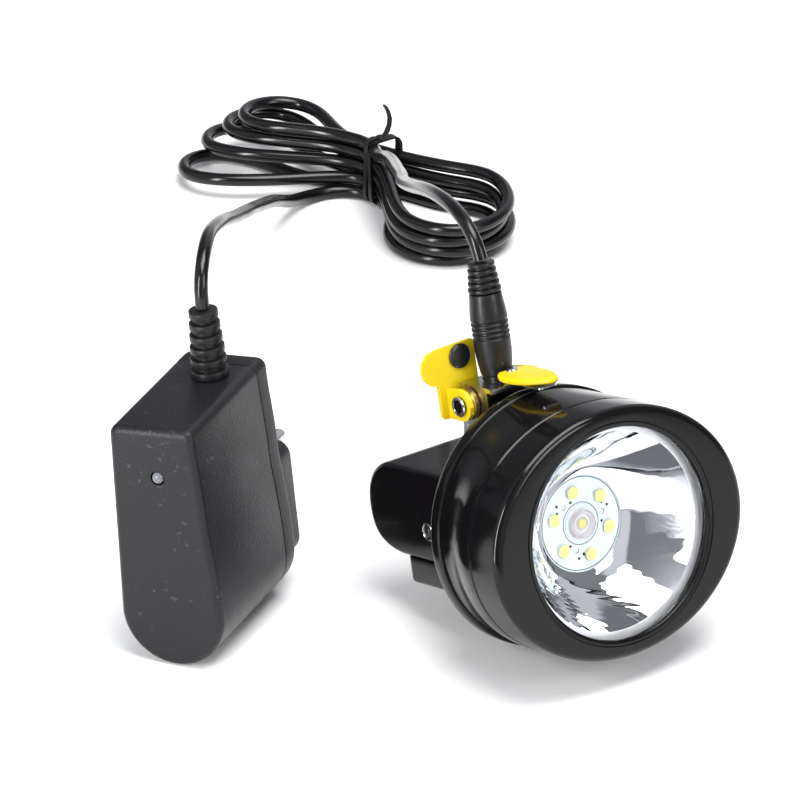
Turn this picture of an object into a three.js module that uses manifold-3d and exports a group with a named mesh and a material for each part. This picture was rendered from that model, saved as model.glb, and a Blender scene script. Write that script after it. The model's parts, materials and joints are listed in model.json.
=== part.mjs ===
// A cordless miner's cap lamp with its charger plugged in.
//
// Millimetres, +Z up. The lamp faces -Y and stands on the lowest point of its flange, with its
// optical axis tipped up a little. The origin is under the middle of the lamp, on the surface that
// it stands on. The charger stands to its side, and their tied cord lies on the surface behind.
//
// Inside the lamp group, y runs back from the front face along the optical axis, z is the lamp's
// own up and x is to its left as it looks at you.

import * as THREE from 'three';
import { mergeVertices } from 'three/addons/utils/BufferGeometryUtils.js';
import Module from 'manifold-3d';

const wasm = await Module();
wasm.setup();

// ---------------------------------------------------------------- driving dimensions

const GAP = 0.3; // left between pieces that seat on each other
const ROUND = 32; // sides of a large turned piece
const SMALL_ROUND = 12; // sides of a small one

// Bezel and window
const bezelWidth = 88;
const bezelHeight = 73.4;
const bezelDepth = 13;
const bezelEdge = 2.2; // rounding of its outer front edge
const bezelWall = 2.4; // beside its rear bore, where it is thinnest
const windowRadius = 31;
const lipDepth = 1.8; // the front lip that holds the window in
const lensThick = 2;
const gasketWidth = 1.6;

// Reflector and lights
const mirrorRadius = 29.2;
const mirrorDepth = 15.4;
const boardSeenRadius = 14.3;
const sheetWall = 1.2; // wall of the spun reflector
const boardRadius = 17;
const boardThick = 1.6;
const mainLedSize = 5;
const domeRadius = 4.6;
const auxLedCount = 6;
const auxLedCircle = 9.85;
const auxLedTurn = 40; // degrees from the lateral axis to the first one
const auxLedSize = [3.4, 2.8];
const boardHoleCircle = 8;
const boardHoleTurn = 10; // degrees to the first of three
const sinkDepth = 7;
const driverSize = [30, 24];

// Shell, flange and rear housing
const shellWall = 2.2;
const shellDepth = 25; // behind the bezel
const flangeStand = 1.5; // that the flange stands out above the bezel
const flangeRadius = bezelHeight / 2 + flangeStand; // at its top and bottom
const flangeWidening = 1.05;
const flangeDepth = 4.8;
const flangeStep = 0.6; // that it stands proud of the drum in front of it
const housingWidth = 58;
const housingTop = 18.2;
const housingSeam = -9.5; // where the battery cover meets the housing
const housingDepth = 33.4; // along its flat top
const housingBulge = 13; // of its round back beyond that
const housingWall = 2;
const coverHeight = 8.2;
const coverInset = 0.8;
const cellWidth = 50;
const cellHeight = 17;
const cellDepth = 34;
const buttonRadius = 1.8;
const indicatorPlace = [-19.5, 12.5]; // across, and back from the housing's front edge
const passageSize = [40, 14]; // for the wires between the shell and the housing
const screwPlace = [23, 25.2]; // of the flange screws, from the optical axis
const screwHead = 2.6;
const screwShank = 1.2;

// Charging socket tower and helmet hook
const towerWidth = 16;
const towerFront = 46.5;
const towerBack = 56.2;
const towerRise = 1.3; // of its top over the bezel's
const towerTop = bezelHeight / 2 + towerRise;
const towerRibs = 4;
const jackRadius = 4.4;
const plugAxisY = 51.6;
const hingeY = 52;
const hingeZ = towerTop - 3.6;
const sheetSteel = 1.4;
const rivetRadius = 2.5;
const rivetBore = 2.1;
const earRadius = 4.75;
const hookPlane = 58.4; // front of the hook plate
const hookWidth = 14;
const hookTop = towerTop + 13;
const tongueLength = 24;
const tongueWidth = 13;
const tongueRivetY = 43.6;
const bracketPinPlace = [54.8, 23.8]; // y and z
const bracketPinRadius = 1.2;
const studPlace = [-7.6, hookTop - 3.9]; // x and z
const studRadius = 3.7;

// Charging plug
const plugRadius = 5.4;
const plugGripLength = 26;
const plugReliefLength = 9.4;
const barrelRadius = 2.75;
const barrelLength = 9.5;

// Charger
const chargerHeight = 75.5;
const chargerTopWidth = 26.5;
const chargerFootRadius = 16;
const chargerDepth = 46; // front shell
const chargerBackDepth = 7.5;
const chargerWall = 2;
const chargerLean = 6; // degrees, on its round foot
const chargerTurn = -59; // degrees about the vertical
const chargerPlace = [-100.1, 41.6];
const chargerReliefLength = 22;
const chargerReliefPlace = [2.3, 38]; // of its axis, across and behind the front face
const plugBaseWidth = 25;
const plugBaseHeight = 36;
const plugBaseDepth = 11;
const pinRadius = 2;
const pinLength = 19;
const pinSpacing = 19;
const plugBaseZ = 26; // height of its middle
const chargerLedPlace = [0.9, 60.2]; // x and z

// How the set stands
const restPitch = 14; // degrees that the optical axis points up

// Cord
const cordDiameter = 4.1;
const hankHeight = 21.4;
const hankWaist = [130, 259]; // where the tie holds it
const hankNeck = 10.8; // width there
const tieWidth = 4.4;
const tieThick = 1.2;

// ---------------------------------------------------------------- helpers

// Joins shared corners, drops slivers and turns the faces outwards.
function clean(geometry) {
  const plain = geometry.index ? geometry : geometry.clone();
  for (const name of Object.keys(plain.attributes)) {
    if (name !== 'position') plain.deleteAttribute(name);
  }
  const merged = mergeVertices(plain, 1e-4);
  const position = merged.attributes.position.array;
  const old = merged.index.array;
  const kept = [];
  let volume = 0;
  const corner = (i) => new THREE.Vector3(...position.slice(3 * i, 3 * i + 3));
  for (let i = 0; i < old.length; i += 3) {
    const [a, b, c] = [old[i], old[i + 1], old[i + 2]];
    if (a === b || b === c || c === a) continue;
    kept.push(a, b, c);
    volume += corner(a).dot(corner(b).cross(corner(c)));
  }
  if (volume < 0) {
    for (let i = 0; i < kept.length; i += 3) {
      [kept[i], kept[i + 1]] = [kept[i + 1], kept[i]];
    }
  }
  merged.setIndex(kept);
  return merged;
}

// A geometry as a solid that can be joined and cut.
function solid(geometry) {
  const closed = clean(geometry);
  return new wasm.Manifold(new wasm.Mesh({
    numProp: 3,
    vertProperties: Float32Array.from(closed.attributes.position.array),
    triVerts: Uint32Array.from(closed.index.array),
  }));
}

// A solid, or a closed geometry, as the geometry of a mesh.
function shown(shape) {
  if (shape instanceof THREE.BufferGeometry) return finished(clean(shape));
  const mesh = shape.getMesh();
  const geometry = new THREE.BufferGeometry();
  geometry.setAttribute('position', new THREE.BufferAttribute(mesh.vertProperties, 3));
  geometry.setIndex(new THREE.BufferAttribute(mesh.triVerts, 1));
  return finished(geometry);
}

function finished(geometry) {
  geometry.computeVertexNormals();
  return geometry;
}

function join(...geometries) {
  return geometries.map(solid).reduce((whole, next) => whole.add(next));
}

const alongY = new THREE.Matrix4().makeRotationX(Math.PI / 2);
const alongX = new THREE.Matrix4().makeBasis(
  new THREE.Vector3(0, 1, 0), new THREE.Vector3(0, 0, 1), new THREE.Vector3(1, 0, 0));

// An outline drawn out between two heights, with both of its edges rounded off by `edge`.
function extruded(outline, from, to, edge = 0) {
  const geometry = new THREE.ExtrudeGeometry(outline, {
    depth: to - from - 2 * edge,
    bevelEnabled: edge > 0,
    bevelThickness: edge,
    bevelSize: edge,
    bevelOffset: -edge,
    bevelSegments: edge > 1 ? 2 : 1,
    curveSegments: edge > 1 ? 5 : 3,
  });
  return geometry.translate(0, 0, from + edge);
}

// The same, for an outline in x and z drawn out along y, and for one in y and z along x.
function extrudedY(outline, from, to, edge = 0) {
  return extruded(outline, -to, -from, edge).applyMatrix4(alongY);
}

function extrudedX(outline, from, to, edge = 0) {
  return extruded(outline, from, to, edge).applyMatrix4(alongX);
}

// A profile of [radius, along] pairs turned about the y axis, the z axis or the x axis.
function turnedY(profile, sides = ROUND) {
  return new THREE.LatheGeometry(profile.map(([r, y]) => new THREE.Vector2(r, y)), sides);
}

function turnedZ(profile, sides = SMALL_ROUND) {
  return turnedY(profile, sides).applyMatrix4(alongY);
}

function turnedX(profile, sides = SMALL_ROUND) {
  return turnedY(profile, sides).rotateZ(-Math.PI / 2);
}

// The profile of a plain disc or pin, and of a ring.
function discProfile(radius, from, to) {
  return [[0, from], [radius, from], [radius, to], [0, to]];
}

function ringProfile(inner, outer, from, to) {
  return [[inner, from], [outer, from], [outer, to], [inner, to], [inner, from]];
}

function roundedRect(width, height, radius, cx = 0, cy = 0) {
  const [x, y] = [cx - width / 2, cy - height / 2];
  const shape = new THREE.Shape();
  shape.moveTo(x + radius, y);
  shape.lineTo(x + width - radius, y);
  shape.absarc(x + width - radius, y + radius, radius, -Math.PI / 2, 0);
  shape.lineTo(x + width, y + height - radius);
  shape.absarc(x + width - radius, y + height - radius, radius, 0, Math.PI / 2);
  shape.lineTo(x + radius, y + height);
  shape.absarc(x + radius, y + height - radius, radius, Math.PI / 2, Math.PI);
  shape.lineTo(x, y + radius);
  shape.absarc(x + radius, y + radius, radius, Math.PI, 1.5 * Math.PI);
  return shape;
}

function polygon(points) {
  return new THREE.Shape(points.map(([x, y]) => new THREE.Vector2(x, y)));
}

// A tapered relief of separate rings on a thin core, as a profile from its root to its tip.
function ringedProfile(length, rootRadius, tipRadius, rings, groove) {
  const pitch = length / rings;
  const profile = [[0, 0]];
  for (let i = 0; i < rings; i += 1) {
    const radius = THREE.MathUtils.lerp(rootRadius, tipRadius, i / (rings - 1));
    profile.push([radius, i * pitch], [radius, (i + 0.62) * pitch]);
    if (i < rings - 1) {
      profile.push([radius - groove, (i + 0.68) * pitch], [radius - groove, (i + 0.96) * pitch]);
    }
  }
  profile.push([0, (rings - 0.38) * pitch]);
  return profile;
}

const finishes = {
  glossBlack: { color: 0x0b0b0d, roughness: 0.18, metalness: 0 },
  matteBlack: { color: 0x2b2b30, roughness: 0.6, metalness: 0 },
  rubber: { color: 0x151517, roughness: 0.55, metalness: 0 },
  clear: { color: 0xf4f8ff, roughness: 0.05, metalness: 0, transparent: true, opacity: 0.25 },
  mirror: { color: 0xf0f0f0, roughness: 0.05, metalness: 1 },
  steel: { color: 0xb9b9bd, roughness: 0.3, metalness: 1 },
  brass: { color: 0xb98a2c, roughness: 0.35, metalness: 1 },
  yellow: { color: 0xffe81f, roughness: 0.45, metalness: 0 },
  board: { color: 0xdfeaf0, roughness: 0.5, metalness: 0 },
  phosphor: { color: 0xf2e85c, roughness: 0.5, metalness: 0 },
  green: { color: 0x1e5c34, roughness: 0.5, metalness: 0 },
  red: { color: 0xb3161b, roughness: 0.3, metalness: 0 },
  blue: { color: 0x2456a5, roughness: 0.4, metalness: 0 },
};

function part(name, finish, shape) {
  const mesh = new THREE.Mesh(shown(shape), new THREE.MeshStandardMaterial(finishes[finish]));
  mesh.name = name;
  return mesh;
}

// ---------------------------------------------------------------- derived places in the lamp

const bezelRadius = bezelHeight / 2;
const widening = bezelWidth / bezelHeight; // how much wider than tall the bezel is
const bezelBore = bezelRadius - bezelWall;
const lensFront = lipDepth + GAP;
const lensBack = lensFront + lensThick;
const mirrorFront = lensBack + GAP;
const boardFront = mirrorFront + mirrorDepth + GAP;
const boardBack = boardFront + boardThick;
const shellFront = bezelDepth + GAP;
const shellBack = shellFront + shellDepth;
const housingFront = shellBack + GAP;
const housingBack = housingFront + housingDepth;
const coverTop = housingSeam - GAP;
const coverBottom = coverTop - coverHeight;

// ---------------------------------------------------------------- lamp head

// Widens a round turned piece into an oval one; `amount` gives how much at each y.
function widened(geometry, amount) {
  const position = geometry.attributes.position;
  for (let i = 0; i < position.count; i += 1) {
    position.setX(i, position.getX(i) * amount(position.getY(i)));
  }
  return geometry;
}

// The shell is as oval as the bezel at its front and round at its flange.
function shellWidening(y) {
  const back = THREE.MathUtils.clamp((y - shellFront) / (shellDepth - flangeDepth), 0, 1);
  return THREE.MathUtils.lerp(widening, flangeWidening, back * back * (3 - 2 * back));
}

function frontBezel() {
  const edge = [];
  for (let i = 0; i <= 5; i += 1) {
    const turn = (i / 5) * (Math.PI / 2);
    const radius = bezelRadius - bezelEdge + bezelEdge * Math.sin(turn);
    edge.push([radius, bezelEdge - bezelEdge * Math.cos(turn)]);
  }
  const outside = turnedY([[0, 0], ...edge, [bezelRadius, bezelDepth], [0, bezelDepth]]);
  const body = solid(widened(outside, () => widening));
  const window = turnedY(discProfile(windowRadius, -1, lipDepth + 1));
  const bore = turnedY(discProfile(bezelBore, lipDepth, bezelDepth + 1));
  const groove = turnedY(ringProfile(windowRadius + 1.3, windowRadius + 2, -1, 0.35));
  const shape = body.subtract(solid(window)).subtract(solid(bore)).subtract(solid(groove));
  return part('front_bezel', 'glossBlack', shape);
}

function windowParts() {
  const lensRadius = bezelBore - GAP - gasketWidth - GAP;
  const lens = turnedY([
    [0, lensFront - 0.15],
    [lensRadius - 0.4, lensFront],
    [lensRadius, lensFront + 0.4],
    [lensRadius, lensBack],
    [0, lensBack],
  ]);
  const gasket = turnedY(ringProfile(lensRadius + GAP, bezelBore - GAP, lensFront, lensBack));
  return [part('lens', 'clear', lens), part('lens_gasket', 'rubber', gasket)];
}

// A parabola from the board up to the mirror's rim, thinned to a spun wall.
function reflector() {
  const steps = 9;
  const inside = [];
  const outside = [];
  for (let i = 0; i <= steps; i += 1) {
    const deep = i / steps;
    const rise = Math.sqrt(1 - deep);
    const radius = boardSeenRadius + (mirrorRadius - boardSeenRadius) * rise ** 1.3;
    const y = mirrorFront + mirrorDepth * deep;
    inside.push([radius, y]);
    outside.unshift([radius + sheetWall, y]);
  }
  const rimBack = mirrorFront + sheetWall;
  const clear = outside.filter(([, y]) => y > rimBack + 0.2);
  const profile = [
    ...inside,
    ...clear,
    [mirrorRadius + sheetWall - 0.6, rimBack],
    [bezelBore - GAP, rimBack],
    [bezelBore - GAP, mirrorFront],
    inside[0],
  ];
  return part('reflector', 'mirror', turnedY(profile));
}

function lights() {
  const pieces = [];
  const board = solid(turnedY(discProfile(boardRadius, boardFront, boardBack), ROUND));
  const holes = [0, 1, 2].map((i) => {
    const turn = THREE.MathUtils.degToRad(boardHoleTurn + 120 * i);
    const hole = turnedY(discProfile(0.9, boardFront - 1, boardBack + 1), 12);
    return solid(hole.translate(
      boardHoleCircle * Math.cos(turn), 0, boardHoleCircle * Math.sin(turn)));
  });
  pieces.push(part('led_board', 'board', holes.reduce((b, h) => b.subtract(h), board)));

  const chipBack = boardFront - GAP;
  const chip = extrudedY(roundedRect(mainLedSize, mainLedSize, 0.5), chipBack - 1.2, chipBack);
  pieces.push(part('main_led', 'phosphor', chip));

  const dome = solid(turnedY([
    [0, chipBack - 4.4],
    [1.6, chipBack - 4.2],
    [3, chipBack - 3.4],
    [domeRadius - 0.6, chipBack - 2.1],
    [domeRadius - 0.4, chipBack - 0.8],
    [domeRadius, chipBack - 0.7],
    [domeRadius, chipBack],
    [0, chipBack],
  ], SMALL_ROUND));
  const pocketRadius = mainLedSize / Math.SQRT2 + 0.15;
  const pocket = turnedY(discProfile(pocketRadius, chipBack - 1.5, chipBack + 1));
  pieces.push(part('main_led_dome', 'clear', dome.subtract(solid(pocket))));

  for (let i = 0; i < auxLedCount; i += 1) {
    const turn = THREE.MathUtils.degToRad(auxLedTurn + (360 / auxLedCount) * i);
    const led = extrudedY(roundedRect(...auxLedSize, 0.4), chipBack - 0.9, chipBack);
    led.translate(auxLedCircle * Math.cos(turn), 0, auxLedCircle * Math.sin(turn));
    pieces.push(part(`aux_led_${i + 1}`, 'phosphor', led));
  }

  const sinkBack = boardBack + sinkDepth;
  const sink = solid(turnedY(discProfile(boardRadius + 5, boardBack + GAP, sinkBack)));
  const slots = [-2, -1, 0, 1, 2].map((i) => solid(
    extrudedY(roundedRect(2.4, 60, 0.5, i * 7), boardBack + 3, sinkBack + 1)));
  pieces.push(part('heat_sink', 'steel', slots.reduce((s, slot) => s.subtract(slot), sink)));

  const driverFront = sinkBack + GAP;
  const driver = extrudedY(roundedRect(...driverSize, 2), driverFront, driverFront + boardThick);
  pieces.push(part('driver_board', 'green', driver));
  return pieces;
}

// The four flange screws, above and below the housing and the battery cover.
function screwPlaces() {
  const [across, level] = screwPlace;
  return [[-across, level], [across, level], [-across, -level], [across, -level]];
}

function headShell() {
  const drumBack = shellBack - flangeDepth;
  const profile = (inset, from, to) => [
    [0, from],
    [bezelRadius - inset, from],
    [bezelRadius + 0.6 - inset, shellFront + 8],
    [flangeRadius - flangeStep - inset, drumBack],
    [flangeRadius - flangeStep - inset, to],
    [0, to],
  ];
  const drum = solid(widened(turnedY(profile(0, shellFront, shellBack - 1)), shellWidening));
  const flange = solid(widened(turnedY([
    [0, drumBack],
    [flangeRadius - 0.5, drumBack],
    [flangeRadius, drumBack + 0.5],
    [flangeRadius, shellBack - 0.8],
    [flangeRadius - 0.8, shellBack],
    [0, shellBack],
  ]), () => flangeWidening));
  const spigotFront = mirrorFront + sheetWall + GAP;
  const spigot = solid(turnedY(discProfile(bezelBore - GAP, spigotFront, shellFront + 3)));
  const hollow = solid(widened(
    turnedY(profile(shellWall, shellFront + shellWall, shellBack - shellWall)), shellWidening));
  const throat = solid(turnedY(discProfile(bezelBore - GAP - 2, 0, shellFront + shellWall + 1)));
  const passage = solid(extrudedY(roundedRect(...passageSize, 3), shellBack - 4, shellBack + 1));
  let shape = drum.add(flange).add(spigot).subtract(hollow).subtract(throat).subtract(passage);
  for (const [x, z] of screwPlaces()) {
    const hole = turnedY(discProfile(screwShank + GAP, shellBack - 4, shellBack + 1), SMALL_ROUND);
    shape = shape.subtract(solid(hole.translate(x, 0, z)));
  }
  return part('head_shell', 'glossBlack', shape);
}

// ---------------------------------------------------------------- rear housing

function housingOutline(inset) {
  const [top, seam] = [housingTop - inset, housingSeam + inset];
  const back = housingBack - inset * 0.4;
  const shape = new THREE.Shape();
  shape.moveTo(housingFront + inset, seam);
  shape.lineTo(back - 1, seam);
  shape.bezierCurveTo(
    back + housingBulge * 0.8, seam + 1, back + housingBulge - inset, seam + 6,
    back + housingBulge - inset, seam + 13);
  shape.bezierCurveTo(
    back + housingBulge - inset, top - 6, back + 7 - inset, top, back, top);
  shape.lineTo(housingFront + inset, top);
  return shape;
}

function rearParts() {
  const half = housingWidth / 2;
  const inner = half - housingWall;
  const buttonY = (housingFront + housingBack) / 2;
  const buttonZ = 0;
  const outside = solid(extrudedX(housingOutline(0), -half, half, 1.6));
  const inside = solid(extrudedX(housingOutline(housingWall), -inner, inner));
  const passage = solid(extrudedY(roundedRect(...passageSize, 3), housingFront - 1, housingFront + 4));
  const wireWay = solid(extruded(roundedRect(8, 6, 1, 0, buttonY), housingTop - 4, housingTop + 1));
  const [indicatorX, indicatorBack] = indicatorPlace;
  const indicatorY = housingFront + indicatorBack;
  const ringOuter = buttonRadius + 0.9;
  const buttonHole = solid(turnedX(discProfile(ringOuter + 0.05, -half - 1, -half + 4))
    .translate(0, buttonY, buttonZ));
  const indicatorHole = solid(turnedZ(discProfile(1.7, housingTop - 4, housingTop + 1))
    .translate(indicatorX, indicatorY, 0));
  const housing = outside.subtract(inside).subtract(passage).subtract(wireWay)
    .subtract(buttonHole).subtract(indicatorHole);

  const coverOutline = roundedRect(
    housingWidth - 2 * coverInset, housingDepth - 3, 3, 0, housingFront + housingDepth / 2);
  const cover = extruded(coverOutline, coverBottom, coverTop, 1.4);

  const cellY = housingFront + housingWall + 3 + cellDepth / 2;
  const cellZ = (housingTop + housingSeam) / 2;
  const cellOutline = roundedRect(cellDepth, cellHeight, 3, cellY, cellZ);
  const cell = extrudedX(cellOutline, -cellWidth / 2 + 2, cellWidth / 2, 0.8);

  const ringSection = ringProfile(buttonRadius + GAP, ringOuter, -half - 0.5, -half + 1.6);
  const ring = turnedX(ringSection).translate(0, buttonY, buttonZ);
  const button = turnedX([
    [0, -half - 0.9],
    [buttonRadius - 0.5, -half - 0.8],
    [buttonRadius, -half - 0.2],
    [buttonRadius, -half + 2.4],
    [0, -half + 2.4],
  ]).translate(0, buttonY, buttonZ);
  const indicator = turnedZ([
    [0, housingTop - 3],
    [1.4, housingTop - 3],
    [1.4, housingTop + 0.5],
    [0.8, housingTop + 1.1],
    [0, housingTop + 1.3],
  ]).translate(indicatorX, indicatorY, 0);
  return [
    part('rear_housing', 'glossBlack', housing),
    part('battery_cover', 'glossBlack', cover),
    part('battery_cell', 'blue', cell),
    part('switch_ring', 'steel', ring),
    part('switch_button', 'rubber', button),
    part('charge_indicator', 'red', indicator),
  ];
}

// Pan head screws that hold the shell's flange to the rear housing's frame.
function flangeScrews() {
  const pieces = [];
  for (const [x, z] of screwPlaces()) {
    const screw = solid(turnedY([
      [0, shellBack - 1.6],
      [screwShank, shellBack - 1.6],
      [screwShank, shellBack + GAP],
      [screwHead, shellBack + GAP],
      [screwHead - 0.2, shellBack + 1.6],
      [0, shellBack + 2.1],
    ], SMALL_ROUND));
    const slot = solid(extrudedY(roundedRect(6, 0.7, 0.1), shellBack + 1.3, shellBack + 3));
    pieces.push(part(`flange_screw_${pieces.length + 1}`, 'steel',
      screw.subtract(slot).translate([x, 0, z])));
  }
  return pieces;
}

// ---------------------------------------------------------------- socket tower and helmet hook

function bracketPinHole() {
  const hole = turnedX(discProfile(bracketPinRadius + GAP, -towerWidth, towerWidth));
  return solid(hole.translate(0, ...bracketPinPlace));
}

function tower() {
  const half = towerWidth / 2;
  const foot = housingTop + GAP;
  const body = solid(extruded(
    roundedRect(towerWidth, towerBack - towerFront, 1, 0, (towerFront + towerBack) / 2), foot, towerTop));
  const heel = solid(extruded(roundedRect(towerWidth, 8, 1, 0, 55), foot, 28));
  let shape = body.add(heel);
  const pitch = 3.4;
  for (let i = 0; i < towerRibs; i += 1) {
    const rib = polygon([
      [towerFront - 0.9, towerTop - 4.2 - i * pitch],
      [towerFront - 0.9, towerTop - 2.8 - i * pitch],
      [towerFront + 1, towerTop - 2.2 - i * pitch],
      [towerFront + 1, towerTop - 4.8 - i * pitch],
    ]);
    shape = shape.add(solid(extrudedX(rib, -half + 1.4, half - 1.4)));
  }
  const bore = solid(turnedZ(discProfile(jackRadius + GAP, towerTop - 12, towerTop + 1))
    .translate(0, plugAxisY, 0));
  return part('socket_tower', 'matteBlack', shape.subtract(bore).subtract(bracketPinHole()));
}

function jack() {
  const bottom = towerTop - 12 + GAP;
  const profile = [
    [0, bottom],
    [jackRadius, bottom],
    [jackRadius, towerTop - GAP],
    [barrelRadius + GAP, towerTop - GAP],
    [barrelRadius + GAP, bottom + 1.5],
    [0.9, bottom + 1.5],
    [0.9, towerTop - 3],
    [0, towerTop - 2.4],
  ];
  return part('dc_jack', 'steel', turnedZ(profile).translate(0, plugAxisY, 0));
}

// A folded steel channel over the tower: a top plate, two ears and a return on each front edge.
function bracket() {
  const inside = towerWidth / 2 + GAP;
  const outside = inside + sheetSteel;
  const [plateBottom, plateTop] = [towerTop + GAP, towerTop + GAP + sheetSteel];
  const [pinY, pinZ] = bracketPinPlace;
  const ear = new THREE.Shape();
  ear.moveTo(45.2, plateTop);
  ear.lineTo(45.2, 31);
  ear.lineTo(pinY - 3.9, pinZ);
  ear.absarc(pinY, pinZ, 3.9, Math.PI, 2 * Math.PI);
  ear.lineTo(57, 31);
  ear.lineTo(57, plateTop);
  const ears = [-1, 1].map((side) => solid(
    extrudedX(ear, side < 0 ? -outside : inside, side < 0 ? -inside : outside)));
  const plate = solid(extruded(polygon([
    [-outside, 40.6], [outside, 40.6], [outside, 57], [-outside, 57]]), plateBottom, plateTop));
  const returns = [-1, 1].map((side) => solid(extruded(
    polygon([[side * outside, 43.9], [side * (inside - 1.6), 43.9], [side * (inside - 1.6), 45.3],
      [side * outside, 45.3]]), 31, plateTop)));
  const plugHole = solid(turnedZ(discProfile(4.5, plateBottom - 1, plateTop + 1))
    .translate(0, plugAxisY, 0));
  const rivetHole = solid(turnedX(discProfile(rivetRadius + GAP, -20, 20)).translate(0, hingeY, hingeZ));
  const tongueHole = solid(turnedZ(discProfile(1.3, plateBottom - 1, plateTop + 1))
    .translate(0, tongueRivetY, 0));
  const shape = ears[0].add(ears[1]).add(plate).add(returns[0]).add(returns[1])
    .subtract(plugHole).subtract(rivetHole).subtract(tongueHole).subtract(bracketPinHole());
  return part('hinge_bracket', 'steel', shape);
}

function bracketPin() {
  const reach = towerWidth / 2 + GAP + sheetSteel + 0.8;
  return part('bracket_pin', 'steel',
    turnedX(discProfile(bracketPinRadius, -reach, reach)).translate(0, ...bracketPinPlace));
}

// Ear, washer and hollow rivet on one side of the bracket; `side` is -1 or 1.
const washerIn = towerWidth / 2 + GAP + sheetSteel + GAP;
const earIn = washerIn + 2 + GAP;
const earOut = earIn + sheetSteel;

function hingeSide(side, name) {
  const place = (geometry) => {
    const turned = side < 0 ? geometry.rotateZ(Math.PI) : geometry;
    return turned.translate(0, hingeY, hingeZ);
  };
  const washer = turnedX(ringProfile(rivetRadius + GAP, earRadius, washerIn, washerIn + 2));
  const rivetIn = towerWidth / 2 + GAP;
  const rivet = turnedX([
    [rivetBore, rivetIn],
    [rivetRadius, rivetIn],
    [rivetRadius, earOut + GAP],
    [rivetRadius + 0.6, earOut + GAP],
    [rivetRadius + 0.6, earOut + 0.9],
    [rivetRadius + 0.1, earOut + 1.2],
    [rivetBore, earOut + 1],
    [rivetBore, rivetIn],
  ]);
  return [
    part(`hinge_washer_${name}`, 'brass', place(washer)),
    part(`hinge_rivet_${name}`, 'brass', place(rivet)),
  ];
}

function hookPlate() {
  const left = -hookWidth - 2;
  const lobe = 5.4;
  const [studX, studZ] = studPlace;
  const outline = new THREE.Shape();
  outline.moveTo(left + 0.8, hingeZ - earRadius);
  outline.lineTo(-earIn, hingeZ - earRadius);
  outline.lineTo(-earIn, hingeZ);
  outline.lineTo(earOut, hingeZ);
  outline.lineTo(earOut, hingeZ + 4);
  outline.lineTo(-2, hingeZ + 4);
  outline.lineTo(-2, hookTop - 0.6);
  outline.lineTo(-2.6, hookTop);
  outline.lineTo(left + 0.4, hookTop - 0.4);
  outline.absarc(left + 0.4, hookTop - 0.4 - lobe, lobe, Math.PI / 2, 1.5 * Math.PI);
  outline.lineTo(left, hookTop - 0.4 - 2 * lobe);
  outline.lineTo(left, hingeZ - earRadius + 0.8);
  const plate = solid(extrudedY(outline, hookPlane, hookPlane + sheetSteel));
  const ear = new THREE.Shape();
  ear.moveTo(hookPlane + sheetSteel, hingeZ + 4);
  ear.lineTo(hingeY, hingeZ + earRadius);
  ear.absarc(hingeY, hingeZ, earRadius, Math.PI / 2, 1.5 * Math.PI);
  ear.lineTo(hookPlane + sheetSteel, hingeZ - earRadius);
  const ears = [-1, 1].map((side) => solid(
    extrudedX(ear, side < 0 ? -earOut : earIn, side < 0 ? -earIn : earOut)));
  const bore = solid(turnedX(discProfile(rivetRadius + GAP, -20, 20)).translate(0, hingeY, hingeZ));
  const studHole = solid(turnedY(discProfile(1.8, hookPlane - 1, hookPlane + 3), SMALL_ROUND)
    .translate(studX, 0, studZ));
  const shape = plate.add(ears[0]).add(ears[1]).subtract(bore).subtract(studHole);
  const stud = turnedY([
    [0, hookPlane - 1],
    [studRadius - 0.5, hookPlane - 1],
    [studRadius, hookPlane - 0.6],
    [studRadius, hookPlane - GAP],
    [1.5, hookPlane - GAP],
    [1.5, hookPlane + sheetSteel + GAP],
    [2.6, hookPlane + sheetSteel + GAP],
    [2.3, hookPlane + sheetSteel + 1.2],
    [0, hookPlane + sheetSteel + 1.4],
  ], SMALL_ROUND).translate(studX, 0, studZ);
  return [part('hook_plate', 'yellow', shape), part('hook_stud', 'rubber', stud)];
}

// The leaf that reaches forward over the head, with the narrower spring leaf under its root.
function tongueParts() {
  const bottom = towerTop + GAP + sheetSteel + GAP;
  const root = plugAxisY - plugRadius - 0.4;
  const half = tongueWidth / 2;
  const tip = root - tongueLength;
  const leaf = new THREE.Shape();
  leaf.moveTo(-3.4, root);
  leaf.bezierCurveTo(-half - 1, root - 3, -half - 1, root - 15, -1.6, tip + 1);
  leaf.quadraticCurveTo(0, tip - 0.6, 1.6, tip + 1);
  leaf.bezierCurveTo(half + 1, root - 15, half + 1, root - 3, 3.4, root);
  const springTop = bottom + 0.6;
  const spring = extruded(roundedRect(6.4, 19, 1, 0, root - 10.4), bottom, springTop);
  const hole = () => solid(turnedZ(discProfile(1.3, bottom - 1, bottom + 6))
    .translate(0, tongueRivetY, 0));
  const leafBottom = springTop + GAP;
  const leafTop = leafBottom + 1.1;
  const rivet = turnedZ([
    [0, towerTop + GAP * 1.5],
    [1, towerTop + GAP * 1.5],
    [1, leafTop + GAP],
    [1.8, leafTop + GAP],
    [1.4, leafTop + 0.9],
    [0, leafTop + 1.1],
  ]).translate(0, tongueRivetY, 0);
  return [
    part('tongue_spring', 'steel', solid(spring).subtract(hole())),
    part('front_tongue', 'yellow', solid(extruded(leaf, leafBottom, leafTop)).subtract(hole())),
    part('tongue_rivet', 'steel', rivet),
  ];
}

// ---------------------------------------------------------------- charging plug, in the lamp group

const plugFoot = towerTop + GAP;
const gripTop = plugFoot + plugGripLength + 1;

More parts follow.
